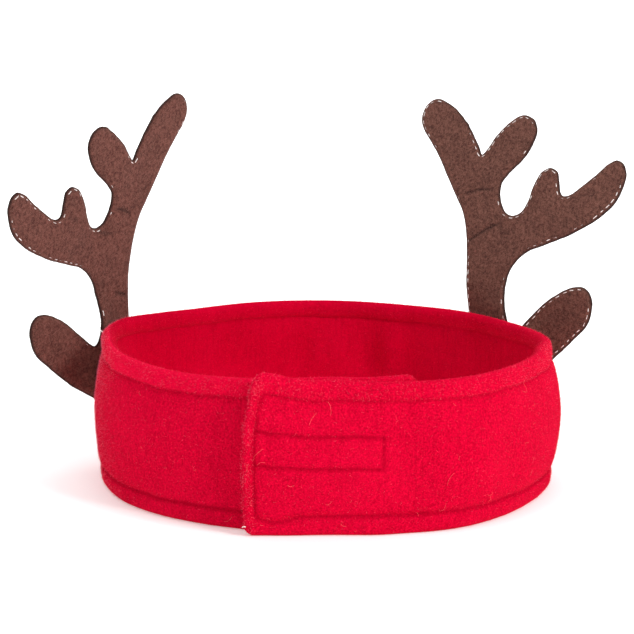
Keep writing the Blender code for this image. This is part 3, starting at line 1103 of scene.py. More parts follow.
    def wave(self, length: Array, height: Array) -> Array:
        """How far the wall's middle swells out: each named wave is a bell along the wall times a bell up it.

        Args:
            length: Length along the strip.
            height: Height above the floor.

        Returns:
            The distance at each point.
        """
        along_wave, up_wave = self.slow_waves
        total = self.slow_swell * wander(length, along_wave) * wander(height, up_wave)
        for _, angle, middle, along, up, depth in WALL_WAVES:
            beside = length - self.strip.length_at(angle % FULL_TURN if angle < 0 else angle)
            total = total + depth * MM * bell(beside, along * MM) * bell(height - middle * MM, up * MM)
        return total

    def face(self, length: Array, row: Array, side: Face, off: float = 0.0) -> Array:
        """Points on a face of the wall, or this far off it.

        Args:
            length: Length along the strip.
            row: Height on a wall with straight edges.
            side: Which face.
            off: Distance beyond the face.

        Returns:
            Points in the row frame.
        """
        length = np.clip(length, 0.0, self.strip.length)
        row = np.clip(row, 0.0, self.strip.height)
        low, high = self.strip.edges_at(length)
        at_end = smooth_step(1 - (self.strip.length - length) / self.end_hem_width)
        pulled = self.end_sway * at_end * (0.5 + 0.5 * wander(row, self.end_sway_wave))
        height = low + (high - low) * row / self.strip.height
        out = side.value * (self.half(length, row) + off) + self.wave(length, height)
        return self.strip.place(length - pulled, height, out)

    def normal(self, length: Array, row: Array, side: Face) -> Array:
        """The direction out of a face, from the cross product of its slopes up and along.

        Args:
            length: Length along the strip.
            row: Height on a wall with straight edges.
            side: Which face.

        Returns:
            The direction at each point.
        """
        step = self.slope_step
        along = self.face(length + step, row, side) - self.face(length - step, row, side)
        up = self.face(length, row + step, side) - self.face(length, row - step, side)
        return unit(np.cross(up, along)) * side.value

    def build(self, material: Material) -> Piece:
        """The wall: two grids of points that share their border, so that it is one closed skin.

        Args:
            material: The fleece.

        Returns:
            The band's piece.
        """
        columns, rows = self.columns(), self.rows()
        length, row = np.meshgrid(columns, rows, indexing="ij")
        outer = self.face(length, row, Face.OUTSIDE).reshape(-1, 3)
        inner = self.face(length, row, Face.INSIDE).reshape(-1, 3)
        numbers = np.arange(length.size).reshape(length.shape)
        within = np.zeros(length.shape, bool)
        within[1:-1, 1:-1] = True
        twins = numbers.copy()
        twins[within] = length.size + np.arange(within.sum())
        faces = np.concatenate([grid_faces(numbers), grid_faces(twins.T)])
        points = np.concatenate([outer, inner[within.ravel()]])
        piece = make_piece("band_fleece", points, [faces], material)
        flat = np.stack([length.ravel(), row.ravel()], axis=-1)
        set_map(piece, "strip", np.concatenate([flat, flat[within.ravel()]]))
        # Painted shade along the stitched grooves, fainter inside the ring
        shade = self.groove(length, row).ravel()
        set_value(piece, "groove", np.concatenate([shade, self.inside_share * shade[within.ravel()]]))
        # Painted light: the upper hem at the ring's left is made paler
        outside = 1 + self.painted_hem_light_rise * self.painted_hem_light(length, row).ravel()
        # Painted shade: this value is low inside the ring, where the material darkens the pile and evens it out
        set_value(piece, "raised", np.concatenate([outside, np.full(within.sum(), self.inside_share)]))
        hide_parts("fleece_band")
        return piece


@dataclass
class FleeceNap:
    """Short fibres that stand off the fleece and soften its outline.

    The three shares say how many are kept for the rim, for the hem at the flap's end and for the left side.
    """

    band: FleeceBand
    name: str = "nap"
    count: int = 46000
    shortest: float = 0.5 * MM
    longest: float = 1.5 * MM
    width: float = 0.055 * MM
    rim_share: float = 0.0
    end_share: float = 0.0
    side_share: float = 0.0
    side_angles: tuple[float, float] = (60.0, 116.0)
    root_depth: float = 0.12 * MM
    floor: float = 0.03 * MM
    seed: int = 11

    def build(self, side: Face, material: Material) -> Piece:
        """Fibres spread over a face: each leans at random, mostly along the cloth.

        Args:
            side: Which face.
            material: The fibres' finish.

        Returns:
            The nap's piece.
        """
        draw = np.random.default_rng(self.seed + int(side.value))
        length = draw.uniform(0, self.band.strip.length, self.count)
        row = draw.uniform(0, self.band.strip.height, self.count)
        strip = self.band.strip
        shares = (self.rim_share, self.end_share, self.side_share)
        rim, end, beside = (int(share * self.count) for share in shares)
        row[:rim] = strip.height - strip.hem_width * draw.uniform(0, 1, rim)
        length[rim : rim + end] = strip.length - self.band.end_hem_width * draw.uniform(0, 1, end)
        sides = [strip.length_at(angle) for angle in self.side_angles]
        length[rim + end : rim + end + beside] = draw.triangular(sides[0], sides[1], sides[1], beside)
        roots = self.band.face(length, row, side, -self.root_depth)
        normal = self.band.normal(length, row, side)
        loose = draw.normal(size=(self.count, 3))
        loose = unit(loose - (loose * normal).sum(1, keepdims=True) * normal)
        lean = draw.uniform(0.25, 1.0, self.count)[:, None]
        reach = draw.uniform(self.shortest, self.longest, self.count)[:, None] * (1.1 - 0.6 * lean)
        reach = reach * (1 - 0.6 * self.band.groove(length, row))[:, None]
        tips = roots + unit(loose * (1.15 - lean) + normal * lean) * reach
        points, faces = spikes(roots, tips, self.width)
        points[:, 2] = np.maximum(points[:, 2], self.floor)
        piece = make_piece(f"band_{self.name}_{side.name.lower()}", points, faces, material)
        return piece


@dataclass
class Topstitching:
    """Red thread in the sunken rows: along both hems, across both ends and round the box."""

    band: FleeceBand
    pitch: float = 3.0 * MM
    shown: float = 2.0 * MM
    radius: float = 0.15 * MM
    sunk: float = 0.16 * MM
    margin: float = 2.0 * MM

    def build(self, material: Material) -> Piece:
        """Stitches at even steps along each row, on both faces of the wall.

        Args:
            material: The red thread.

        Returns:
            The topstitching's piece.
        """
        strip, end = self.band.strip, self.band.end_hem_width
        low, high = strip.hem_width, strip.height - strip.hem_width
        left, right = end, strip.length - end
        box_left = right - self.band.box_length
        box_low = self.band.box_middle - self.band.box_height / 2
        box_high = self.band.box_middle + self.band.box_height / 2
        margin = self.margin
        lines = (
            ((left + margin, low), (right - margin, low)),
            ((left + margin, high), (right - margin, high)),
            ((left, low + margin), (left, high - margin)),
            ((right, low + margin), (right, high - margin)),
            ((box_left, box_low), (right - margin, box_low)),
            ((box_left, box_high), (right - margin, box_high)),
            ((box_left, box_low), (box_left, box_high)),
        )
        starts, ends = [], []
        for first, last in lines:
            first, last = np.array(first), np.array(last)
            count = max(2, round(float(np.linalg.norm(last - first)) / self.pitch))
            share = ((np.arange(count) + 0.5) / count)[:, None]
            middle = first + (last - first) * share
            half = (last - first) / np.linalg.norm(last - first) * self.shown / 2
            starts.append(middle - half)
            ends.append(middle + half)
        start, stop = np.concatenate(starts), np.concatenate(ends)
        parts = []
        for side in Face:
            a = self.band.face(start[:, 0], start[:, 1], side)
            b = self.band.face(stop[:, 0], stop[:, 1], side)
            middle = (start + stop) / 2
            c = self.band.face(middle[:, 0], middle[:, 1], side)
            normal = self.band.normal(middle[:, 0], middle[:, 1], side)
            lift = np.full(len(a), -self.sunk)
            shown = np.linalg.norm(b - a, axis=1)
            parts.append(threads(c, unit(b - a), normal, shown, self.radius, lift))
        piece = make_piece("band_topstitching", *gather(parts), material)
        return piece


@dataclass
class StrayFibres:
    """Long pale fibres caught in the fleece: each a thin curl that lies on the pile."""

    band: FleeceBand
    count: int = 80
    radius: float = 0.032 * MM
    steps: int = 9
    seed: int = 5

    def build(self, material: Material) -> Piece:
        """Curls on the outside of the wall: a straight line bent by a slow sine, lifted off the face.

        Args:
            material: The pale fibre.

        Returns:
            The fibres' piece.
        """
        draw = np.random.default_rng(self.seed)
        named = np.array([row[1:] for row in CAUGHT_FIBRES], float)
        length = np.append(draw.uniform(0.02, self.band.strip.length - 0.002, self.count),
                           self.band.strip.length - named[:, 0] * MM)
        row = np.append(draw.uniform(0.002, self.band.strip.height - 0.002, self.count), named[:, 1] * MM)
        turn = np.append(draw.uniform(0, 2 * np.pi, self.count), np.pi - np.radians(named[:, 2]))
        reach = np.append(draw.gamma(2.0, 0.7, self.count) + 0.9, named[:, 3]) * MM
        curl = np.append(draw.uniform(-1.0, 1.0, self.count), named[:, 4])
        share = np.linspace(-0.5, 0.5, self.steps)[None]
        bend = turn[:, None] + curl[:, None] * share * 2
        across = np.cumsum(np.cos(bend), axis=1) / self.steps - 0.5 * np.cos(turn)[:, None]
        upwards = np.cumsum(np.sin(bend), axis=1) / self.steps - 0.5 * np.sin(turn)[:, None]
        along, up = length[:, None] + across * reach[:, None], row[:, None] + upwards * reach[:, None]
        lift = (0.35 + 0.35 * np.sin(share * np.pi + 1.0)) * MM
        paths = self.band.face(along, up, Face.OUTSIDE)
        normal = self.band.normal(along, up, Face.OUTSIDE)
        paths = paths + normal * lift[..., None]
        radii = np.full(paths.shape[:2], self.radius)
        points, faces = tubes(paths, radii, 4, normal[:, self.steps // 2])
        points[:, 2] = np.maximum(points[:, 2], self.radius)
        piece = make_piece("band_stray_fibres", points, faces, material)
        return piece


@dataclass
class ThreadEnds:
    """Two snipped ends of white thread that stand out of the edge: at the left, and at the flap's foot."""

    band: FleeceBand
    left_angle: float = 99.0
    left_height: float = 57.6 * MM
    foot_inset: float = 1.2 * MM
    foot_height: float = 2.6 * MM
    length: float = 2.0 * MM
    radius: float = 0.28 * MM

    def build(self, material: Material) -> Piece:
        """Short tubes that leave the face along its normal and hang over.

        Args:
            material: The white thread.

        Returns:
            The ends' piece.
        """
        strip = self.band.strip
        length = np.array([strip.length_at(self.left_angle), strip.length - self.foot_inset])
        row = np.array([self.left_height, self.foot_height])
        root = self.band.face(length, row, Face.OUTSIDE)
        normal = self.band.normal(length, row, Face.OUTSIDE)
        share = np.linspace(-0.2, 1.0, 7)[None, :, None]
        up = np.array([0.0, 0.0, 1.0])
        lift = up * (0.5 * share - 0.3 * share**2)
        paths = root[:, None] + (normal[:, None] * share * 0.8 + lift) * self.length
        radii = self.radius * (1 - 0.4 * np.broadcast_to(share[..., 0], paths.shape[:2]))
        points, faces = tubes(paths, radii, THREAD_SIDES, np.tile(np.array(ASIDE), (2, 1)))
        return make_piece("band_thread_ends", points, faces, material)


@dataclass
class ClosureTape:
    """The hook-and-loop tape between the flap and the underlap, behind the stitched box."""

    band: FleeceBand
    fit_gap: float = 0.0003
    length: float = 0.0431
    middle: float = 0.0312
    half: float = 0.0060
    edge_round: float = 0.3 * MM

    def build(self, material: Material) -> Piece:
        """A curved plate: a grid for each face of its thickness, closed round its border.

        Args:
            material: The tape.

        Returns:
            The tape's piece.
        """
        strip = self.band.strip
        thickness = strip.layer_pitch - self.band.body_thickness - 2 * self.fit_gap
        stop = strip.length - strip.flap_flare_length
        start = stop - self.length
        lengths = np.linspace(start, stop, 60)
        heights = np.linspace(self.middle - self.half, self.middle + self.half, 20)
        length, height = np.meshgrid(lengths, heights, indexing="ij")
        to_end = np.minimum(length - start, stop - length)
        to_edge = np.minimum(to_end, self.half - np.abs(height - self.middle))
        rounded = self.edge_round * bell(to_edge, 0.4 * MM)
        face = -self.band.body_thickness / 2 - self.fit_gap
        wave = self.band.wave(length, height)
        outer = strip.place(length, height, face - rounded + wave).reshape(-1, 3)
        inner = strip.place(length, height, face - thickness + rounded + wave).reshape(-1, 3)
        n = np.arange(length.size).reshape(length.shape)
        border = np.concatenate([n[:, 0], n[-1, 1:], n[-2::-1, -1], n[0, -2:0:-1]])
        after = np.roll(border, -1)
        rim = np.stack([border, after, after + length.size, border + length.size], axis=-1)
        faces = np.vstack([grid_faces(n), grid_faces(n.T + length.size), rim])
        piece = make_piece("tape_hook_and_loop", np.concatenate([outer, inner]), [faces], material)
        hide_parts("closure_tape")
        return piece


# The antlers


@dataclass(frozen=True)
class Crease:
    """A fold pressed into the felt.

    It runs between two places on the flat cut, in shares of its width and height. Its bow and its depth are
    in mm, and its painted shade runs from 0 to 1.
    """

    start: tuple[float, float]
    stop: tuple[float, float]
    bow: float
    depth: float
    shade: float


@dataclass(frozen=True)
class Nub:
    """A spot where the scissors left the edge uneven: its place, and how proud and how wide it is, in mm."""

    place: tuple[float, float]
    proud: float
    width: float


@dataclass(frozen=True)
class ShownSeam:
    """A stretch of seam where the thread stands clear of the felt.

    It has a place on the flat cut. Its reach along the seam and how much higher the thread stands are in mm.
    """

    place: tuple[float, float]
    reach: float
    lift: float


@dataclass
class AntlerSheet:
    """The sheet midway between an antler's felts: it lies along the wall at the root, and is flat beyond."""

    strip: Strip
    side: int
    angle: float
    twist: float
    lean: float
    roll: float
    root_depth: float = 0.038
    root_half_width: float = 0.0140
    root_fade: float = 0.015
    lean_start: float = 0.004
    lean_length: float = 0.020
    felt_thickness: float = 0.0010
    seat_gap: float = 0.0004
    fit_gap: float = 0.0003
    wall_steps: int = 25
    slope_step: float = 0.1 * MM

    def __post_init__(self) -> None:
        """Seats the sheet on the wall as the solids are seated."""
        self.lean, self.roll = math.radians(self.lean), math.radians(self.roll)
        place, ahead, _ = self.strip.frame_at(np.array(self.angle))
        turn = math.radians(self.twist) * self.side
        ahead = ahead * self.side
        x = ahead[0] * math.cos(turn) - ahead[1] * math.sin(turn)
        y = ahead[0] * math.sin(turn) + ahead[1] * math.cos(turn)
        self.out = np.array([x, y])
        self.normal = np.array([-y, x]) * self.side
        left, middle, right = (self.wall_reach(place, share) for share in (-1, 0, 1))
        self.tilt = (right - left) / 2
        self.sag = (right + left) / 2 - middle
        steepest = (abs(self.tilt) + 2 * abs(self.sag)) / self.root_half_width
        clearance = (self.seat_gap + self.fit_gap / 2 + self.felt_thickness) * math.hypot(1, steepest)
        self.seat = place + self.normal * (middle + clearance)

    def wall_reach(self, place: Array, share: float) -> float:
        """How far the wall stands out behind the root.

        Args:
            place: The wall's middle behind the root's middle, in plan.
            share: Where this is measured, as a share of the root's half width from its middle.

        Returns:
            The distance of the wall's face from that place, at the height where it stands out most.
        """
        length = self.strip.length_at(self.angle) + share * self.root_half_width * self.side
        height = self.strip.height - self.root_depth * np.linspace(0, 1, self.wall_steps)
        to_edge = np.minimum(height, self.strip.height - height) / self.strip.hem_width
        shares, thicknesses = np.array(WALL_THICKNESS).T
        thickness = np.interp(to_edge, shares, thicknesses * MM)
        lengths = np.full(self.wall_steps, length)
        points = self.strip.place(lengths, height, thickness / 2) - np.array(PLAN_SHIFT)
        return float(((points[:, :2] - place) @ self.normal).max())

    def surface(self, flat: Array) -> Array:
        """The sheet's points for places on the flat felt, up measured from the root's bottom.

        The felt is rolled in its plane, then bent out on an arc above the rim and straight beyond it. At the
        root it is pressed along the wall.

        Args:
            flat: Places on the flat cut: out from the stem, and up.

        Returns:
            Points in the row frame.
        """
        out, above = flat[..., 0], flat[..., 1] - self.root_depth
        across = out * math.cos(self.roll) + above * math.sin(self.roll)
        z = above * math.cos(self.roll) - out * math.sin(self.roll)
        bent = np.maximum(0.0, z - self.lean_start)
        turned = np.minimum(bent, self.lean_length)
        rate = self.lean / self.lean_length
        rise = np.sin(rate * turned) / rate + (bent - turned) * math.cos(self.lean)
        fall = (1 - np.cos(rate * turned)) / rate + (bent - turned) * math.sin(self.lean)
        off = fall + self.pressed(across, z)
        place = self.seat + self.out * across[..., None] + self.normal * off[..., None]
        height = self.strip.height + np.minimum(z, self.lean_start) + rise
        return np.concatenate([place, height[..., None]], axis=-1) + np.array(PLAN_SHIFT)

    def pressed(self, across: Array, z: Array) -> Array:
        """How far the root leaves its flat to lie along the wall.

        Args:
            across: Distance out from the stem's middle.
            z: Height above the band's rim.

        Returns:
            The distance, which fades out above the rim and beside the stem.
        """
        share = np.clip(across / self.root_half_width, -1.0, 1.0)
        lie = self.tilt * share + self.sag * share**2
        beside = 1 - smooth_step((np.abs(across) - self.root_half_width) / self.root_fade)
        return lie * beside * (1 - smooth_step(z / self.root_fade))

    def normals(self, flat: Array) -> Array:
        """The direction out of the sheet, away from the band, from the cross product of its slopes."""
        right, up = np.array([self.slope_step, 0.0]), np.array([0.0, self.slope_step])
        across = self.surface(flat + right) - self.surface(flat - right)
        upwards = self.surface(flat + up) - self.surface(flat - up)
        normal = unit(np.cross(across, upwards))
        return normal * np.sign((normal[..., :2] @ self.normal))[..., None]


@dataclass
class Antler:
    """An antler: two felts cut alike, sewn together round the edge with a white running stitch."""

    name: str
    sheet: AntlerSheet
    creases: tuple[Crease, ...]
    nubs: tuple[Nub, ...]
    shown: tuple[ShownSeam, ...]
    stitch_lift: float
    set_over: float = 0.0
    tine_reach: float = 0.0
    tine_rise: float = 0.0
    width: float = 0.103
    height: float = 0.136
    thickness: float = 0.0010
    layer_gap: float = 0.0003
    edge_share: float = 0.36
    pinch_width: float = 1.6 * MM
    outline_steps: int = 9
    spacing: float = 0.85 * MM
    edge_round: float = 0.26 * MM
    stitch_inset: float = 1.15 * MM
    stitch_pitch: float = 3.45 * MM
    stitch_length: float = 2.35 * MM
    thread_radius: float = 0.20 * MM
    stitch_jitter: float = 0.12
    stitch_sway: float = 0.12 * MM
    stitch_sink: float = 0.12 * MM
    lift_jitter: float = 0.05
    root_stitch_count: int = 5
    root_stitch_reach: tuple[float, float] = (-5.5 * MM, 7.5 * MM)
    root_stitch_rows: tuple[float, float] = (9.0 * MM, 28.5 * MM)
    root_stitch_lift: float = 0.10 * MM
    crease_width: float = 0.75 * MM
    # Painted shade along the creases and the cut edge: its widths, and the edge's strength
    crease_shade_width: float = 0.6 * MM
    rim_shade_width: float = 0.52 * MM
    rim_shade: float = 0.90
    warp_height: float = 1.1 * MM
    fuzz_inset: float = 0.9 * MM
    fuzz_depth: float = 0.10 * MM
    fuzz_radius: float = 0.045 * MM
    fuzz_count: int = 9000
    seed: int = 3

    def knots(self) -> Array:
        """The outline's named places, in metres on the flat cut."""
        return np.array(ANTLER_OUTLINE) * np.array([self.width, self.height])

    def outline(self) -> Array:
        """The cut edge: a closed cubic curve through the knots, pushed in and out a little as scissors do.

        Returns:
            Points on the flat cut, clockwise.
        """
        knots = self.knots()
        p0, p1, p2, p3 = (np.roll(knots, k, axis=0)[:, None] for k in (1, 0, -1, -2))
        t = (np.arange(self.outline_steps) / self.outline_steps)[None, :, None]
        curve = 2 * p1 + (p2 - p0) * t + (2 * p0 - 5 * p1 + 4 * p2 - p3) * t**2
        curve = ((curve + (3 * p1 - p0 - 3 * p2 + p3) * t**3) / 2).reshape(-1, 2)
        inward = self.inward(curve)
        arc = self.arc(curve)
        push = 0.10 * MM * wander(arc, 0.013) + 0.05 * MM * wander(arc + 0.3, 0.0045)
        for nub in self.nubs:
            spot = np.array(nub.place) * np.array([self.width, self.height])
            push = push - nub.proud * MM * bell(np.linalg.norm(curve - spot, axis=1), nub.width * MM)
        return curve + inward * push[:, None]

    @staticmethod
    def inward(curve: Array) -> Array:
        """The direction into a clockwise closed curve at each of its points: its slope, turned right."""
        ahead = unit(np.roll(curve, -1, axis=0) - np.roll(curve, 1, axis=0))
        return np.stack([ahead[:, 1], -ahead[:, 0]], axis=-1)

    @staticmethod
    def arc(curve: Array) -> Array:
        """The length along a closed curve at each of its points."""
        steps = np.linalg.norm(np.roll(curve, -1, axis=0) - curve, axis=1)
        return np.concatenate([[0.0], np.cumsum(steps)[:-1]])

    def flat_mesh(self) -> tuple[Array, Array, list[Array]]:
        """The flat cut: rings inside the edge, and triangles between points of a staggered grid within them.

        Returns:
            The points, how far in from the edge each lies, at most the last ring's inset, and the faces.
        """
        edge = self.outline()
        inward = self.inward(edge)
        insets = np.array(RING_INSETS) * MM
        rings = edge[None] + inward[None] * insets[:, None, None]
        count = len(edge)
        inner = rings[-1]
        low, high = inner.min(0), inner.max(0)
        xs, ys = (np.arange(a + self.spacing / 2, b, self.spacing) for a, b in zip(low, high))
        grid = np.stack(np.meshgrid(xs, ys), axis=-1).reshape(-1, 2)
        grid[:, 0] += np.where(np.round((grid[:, 1] - ys[0]) / self.spacing) % 2 == 1, self.spacing / 2, 0.0)
        after = np.roll(inner, -1, axis=0)
        x, y = grid[:, :1], grid[:, 1:]
        spans = (inner[:, 1] > y) != (after[:, 1] > y)
        rise = np.where(after[:, 1] == inner[:, 1], 1.0, after[:, 1] - inner[:, 1])
        cross = inner[:, 0] + (after[:, 0] - inner[:, 0]) * (y - inner[:, 1]) / rise
        inside = (spans & (x < cross)).sum(1) % 2 == 1
        apart = np.linalg.norm(grid[:, None] - inner[None], axis=2).min(1) > 0.6 * self.spacing
        middle = grid[inside & apart]
        loop = [(k, (k + 1) % count) for k in range(count)]
        corners = [Vector(p) for p in np.concatenate([inner, middle]).tolist()]
        filled = delaunay_2d_cdt(corners, loop, [list(range(count))], 1, 1e-7)
        last = (len(insets) - 1) * count
        triangles = np.array([list(face) for face in filled[2]]) + last
        i = np.arange(count)
        j = (i + 1) % count
        first = (np.arange(len(insets) - 1) * count)[:, None]
        quads = np.stack([first + i, first + count + i, first + count + j, first + j], axis=-1).reshape(-1, 4)
        points = np.concatenate([rings.reshape(-1, 2), np.array([list(p) for p in filled[0]])[count:]])
        within = np.full(len(points) - len(insets) * count, insets[-1])
        inset = np.concatenate([np.repeat(insets, count), within])
        return points, inset, [quads, triangles]

    def crease_share(self, flat: Array) -> tuple[Array, Array]:
        """How deep the creases are, and their painted shade: each is a bell across a bowed line, and fades at
        both ends.

        Args:
            flat: Places on the flat cut.

        Returns:
            The depth in metres and the painted shade from 0 to 1.
        """
        depth, shade = np.zeros(len(flat)), np.zeros(len(flat))
        size = np.array([self.width, self.height])
        for crease in self.creases:
            start, stop = np.array(crease.start) * size, np.array(crease.stop) * size
            run = stop - start
            length = np.linalg.norm(run)
            ahead = run / length
            along = (flat - start) @ ahead / length
            side = (flat - start) @ np.array([-ahead[1], ahead[0]])
            side = side - crease.bow * MM * 4 * along * (1 - along)
            fade = smooth_step(along / 0.2) * smooth_step((1 - along) / 0.25)
            depth = depth + crease.depth * MM * bell(side, self.crease_width) * fade
            shade = np.maximum(shade, crease.shade * bell(side, self.crease_shade_width) * fade)
        return depth, shade

    def warp(self, flat: Array) -> Array:
        """How far the sheet strays from flat above the band: slow waves, nothing at the root."""
        out, up = flat[:, 0], flat[:, 1]
        free = smooth_step((up - self.sheet.root_depth - 4 * MM) / (18 * MM))
        slow = wander(out + 0.4 * up, 0.071) * wander(up + 0.03 * self.sheet.side, 0.083)
        return free * self.warp_height * slow

    def laid(self, flat: Array) -> tuple[Array, Array]:
        """Where the cut lies. It is set over along the sheet, and its low tine is drawn out and up a little.

        Args:
            flat: Places on the flat cut.

        Returns:
            Points midway between the felts, and the direction away from the band.
        """
        out, up = flat[..., 0], flat[..., 1]
        beyond = smooth_step((out / self.width - 0.18) / 0.30)
        drawn = beyond * (1 - smooth_step((up / self.height - 0.37) / 0.07))
        along = out + self.set_over + self.tine_reach * drawn
        place = np.stack([along, up + self.tine_rise * drawn], axis=-1)
        normal = self.sheet.normals(place)
        return self.sheet.surface(place) + normal * self.warp(flat)[..., None], normal

    def thick(self, inset: Array) -> Array:
        """A felt's thickness this far in from its cut edge, where the stitches press both felts thin."""
        risen = smooth_step(inset / self.pinch_width)
        return self.thickness * (self.edge_share + (1 - self.edge_share) * risen)

    def felt(self, layer: Layer, mesh: tuple, material: Material) -> Piece:
        """One felt: the flat cut laid on the sheet, with a face on each side of its thickness.

        The half thickness grows as a quarter ellipse from the cut edge. The face sinks along the stitches.

        Args:
            layer: Which felt.
            mesh: The flat cut.
            material: The felt.

        Returns:
            The felt's piece.
        """
        flat, inset, faces = mesh
        middle, normal = self.laid(flat)
        round_share = np.clip(1 - inset / self.edge_round, 0.0, 1.0)
        thick = self.thick(inset)
        half = thick / 2 * np.sqrt(1 - round_share**2)
        centre = (self.layer_gap + thick) / 2
        depth, shade = self.crease_share(flat)
        cut = np.minimum(self.stitch_sink * bell(inset - self.stitch_inset, 0.4 * MM) + depth, half)
        lower = middle + normal * (layer.value * (centre - half))[:, None]
        upper = middle + normal * (layer.value * (centre + half - cut))[:, None]
        edge = int((inset == 0).sum())
        twin = np.concatenate([np.arange(edge), np.arange(edge, len(flat)) + len(flat) - edge])
        both = [np.vstack([group, twin[group[:, ::-1]]]) for group in faces]
        name = f"antler_{self.name}_felt_{layer.name.lower()}"
        piece = make_piece(name, np.concatenate([lower, upper[edge:]]), both, material)
        set_map(piece, "cut", np.concatenate([flat, flat[edge:]]))
        # Painted shade along the cut edge, added to that of the creases
        shade = np.clip(np.maximum(shade, bell(inset, self.rim_shade_width) * self.rim_shade), 0, 1)
        set_value(piece, "crease", np.concatenate([shade, shade[edge:]]))
        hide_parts(f"antler_{self.name}_{layer.name.lower()}_felt")
        return piece

    def running_stitch(self, material: Material) -> Piece:
        """White stitches at even steps inside the edge, over on one face where they are under on the other.

        Args:
            material: The white thread.

        Returns:
            The stitches' piece.
        """
        edge = self.outline()
        inward = self.inward(edge)
        path = edge + inward * self.stitch_inset
        closed, turned = np.vstack([path, path[:1]]), np.vstack([inward, inward[:1]])
        arc = np.concatenate([[0.0], np.cumsum(np.linalg.norm(np.diff(closed, axis=0), axis=1))])
        count = round(arc[-1] / self.stitch_pitch)
        draw = np.random.default_rng(self.seed)
        off = self.layer_gap / 2 + self.thick(self.stitch_inset) - self.stitch_sink
        parts = []
        for layer, shift in ((Layer.INNER, 0.0), (Layer.OUTER, 0.5)):
            jitter = draw.uniform(-self.stitch_jitter, self.stitch_jitter, count)
            middles = (np.arange(count) + 0.5 + shift + jitter) / count * arc[-1] % arc[-1]
            length = self.stitch_length * draw.uniform(0.75, 1.15, count)
            sway = draw.normal(0.0, self.stitch_sway, (2, count))
            ends = []
            for s, aside in ((-1, sway[0]), (0, sway.mean(0)), (1, sway[1])):
                at = (middles + s * length / 2) % arc[-1]
                spot = np.stack([np.interp(at, arc, closed[:, k]) for k in range(2)], axis=-1)
                into = np.stack([np.interp(at, arc, turned[:, k]) for k in range(2)], axis=-1)
                ends.append(spot + into * aside[:, None])
            (first, _), (middle, normal), (last, _) = (self.laid(p) for p in ends)
            normal = normal * layer.value
            lift = self.stitch_lift + self.lift_jitter * draw.normal(size=count) + self.stands_clear(ends[1])
            over, along = middle + normal * off, unit(last - first)
            parts.append(threads(over, along, normal, length, self.thread_radius, lift * MM))
        return make_piece(f"antler_{self.name}_running_stitch", *gather(parts), material)

    def stands_clear(self, flat: Array) -> Array:
        """How much higher the thread stands, in mm: the most of what the named stretches give a place."""
        size = np.array([self.width, self.height])
        rises = []
        for seam in self.shown:
            away = np.linalg.norm(flat - np.array(seam.place) * size, axis=1)
            rises.append(seam.lift * bell(away, seam.reach * MM))
        return np.max(rises, axis=0)

    def fuzz(self, mesh: tuple, material: Material) -> Piece:
        """Fibres that stand off both outer faces: each leans at random, mostly along the felt.

        Args:
            mesh: The flat cut.
            material: The fibres' finish.

        Returns:
            The fuzz's piece.
        """
        draw = np.random.default_rng(self.seed + 40)
        places, insets, _ = mesh
        parts = []
        for layer in Layer:
            pick = draw.choice(np.flatnonzero(insets > self.fuzz_inset), self.fuzz_count)
            aside = draw.uniform(-0.45, 0.45, (self.fuzz_count, 2)) * self.spacing
            inset = insets[pick]
            flat = places[pick] + aside * (inset >= self.pinch_width)[:, None]
            middle, normal = self.laid(flat)
            normal = normal * layer.value
            roots = middle + normal * (self.layer_gap / 2 + self.thick(inset) - self.fuzz_depth)[:, None]
            loose = draw.normal(size=(self.fuzz_count, 3))
            loose = unit(loose - (loose * normal).sum(1, keepdims=True) * normal)
            lean = draw.uniform(0.12, 0.6, self.fuzz_count)[:, None]
            tips = roots + unit(loose + normal * lean) * draw.uniform(0.5, 1.3, self.fuzz_count)[:, None] * MM
            parts.append(spikes(roots, tips, self.fuzz_radius))
        piece = make_piece(f"antler_{self.name}_fuzz", *gather(parts), material)
        return piece

    def root_stitch(self, material: Material) -> Piece:
        """Two rows of brown stitches across the root, on its outer face, that hold it to the band.

        Args:
            material: The brown thread.

        Returns:
            The stitches' piece.
        """
        out = np.linspace(*self.root_stitch_reach, self.root_stitch_count)
        flat = np.stack(np.meshgrid(out, np.array(self.root_stitch_rows)), axis=-1).reshape(-1, 2)
        half = np.array([self.stitch_length / 2, 0.0])
        middle, normal = self.laid(flat)
        a, b = self.laid(flat - half)[0], self.laid(flat + half)[0]
        middle = middle + normal * (self.layer_gap / 2 + self.thickness)
        length = np.full(len(flat), self.stitch_length)
        lift = np.full(len(flat), self.root_stitch_lift)
        points, faces = threads(middle, unit(b - a), normal, length, self.thread_radius, lift)
        return make_piece(f"antler_{self.name}_root_stitch", points, faces, material)

    def build(self, felt: Material, white: Material, brown: Material, loose: Material) -> None:
        """Both felts and their stitches.

        Args:
            felt: The felt.
            white: The thread round the edge.
            brown: The thread at the root.
            loose: The felt's loose fibres.
        """
        mesh = self.flat_mesh()
        stitch = self.running_stitch(white)
        root = self.root_stitch(brown)
        fuzz = self.fuzz(mesh, loose)
        for layer, extra in ((Layer.INNER, [stitch, fuzz]), (Layer.OUTER, [root])):
            piece = self.felt(layer, mesh, felt)
            log.info("%s: %d faces", piece.name, len(piece.data.polygons))


# The studio


@dataclass(frozen=True)
class SoftBox:
    """A square white lamp: its place and its width in metres, and its power in watts."""

    name: str
    place: tuple[float, float, float]
    size: float
    power: float


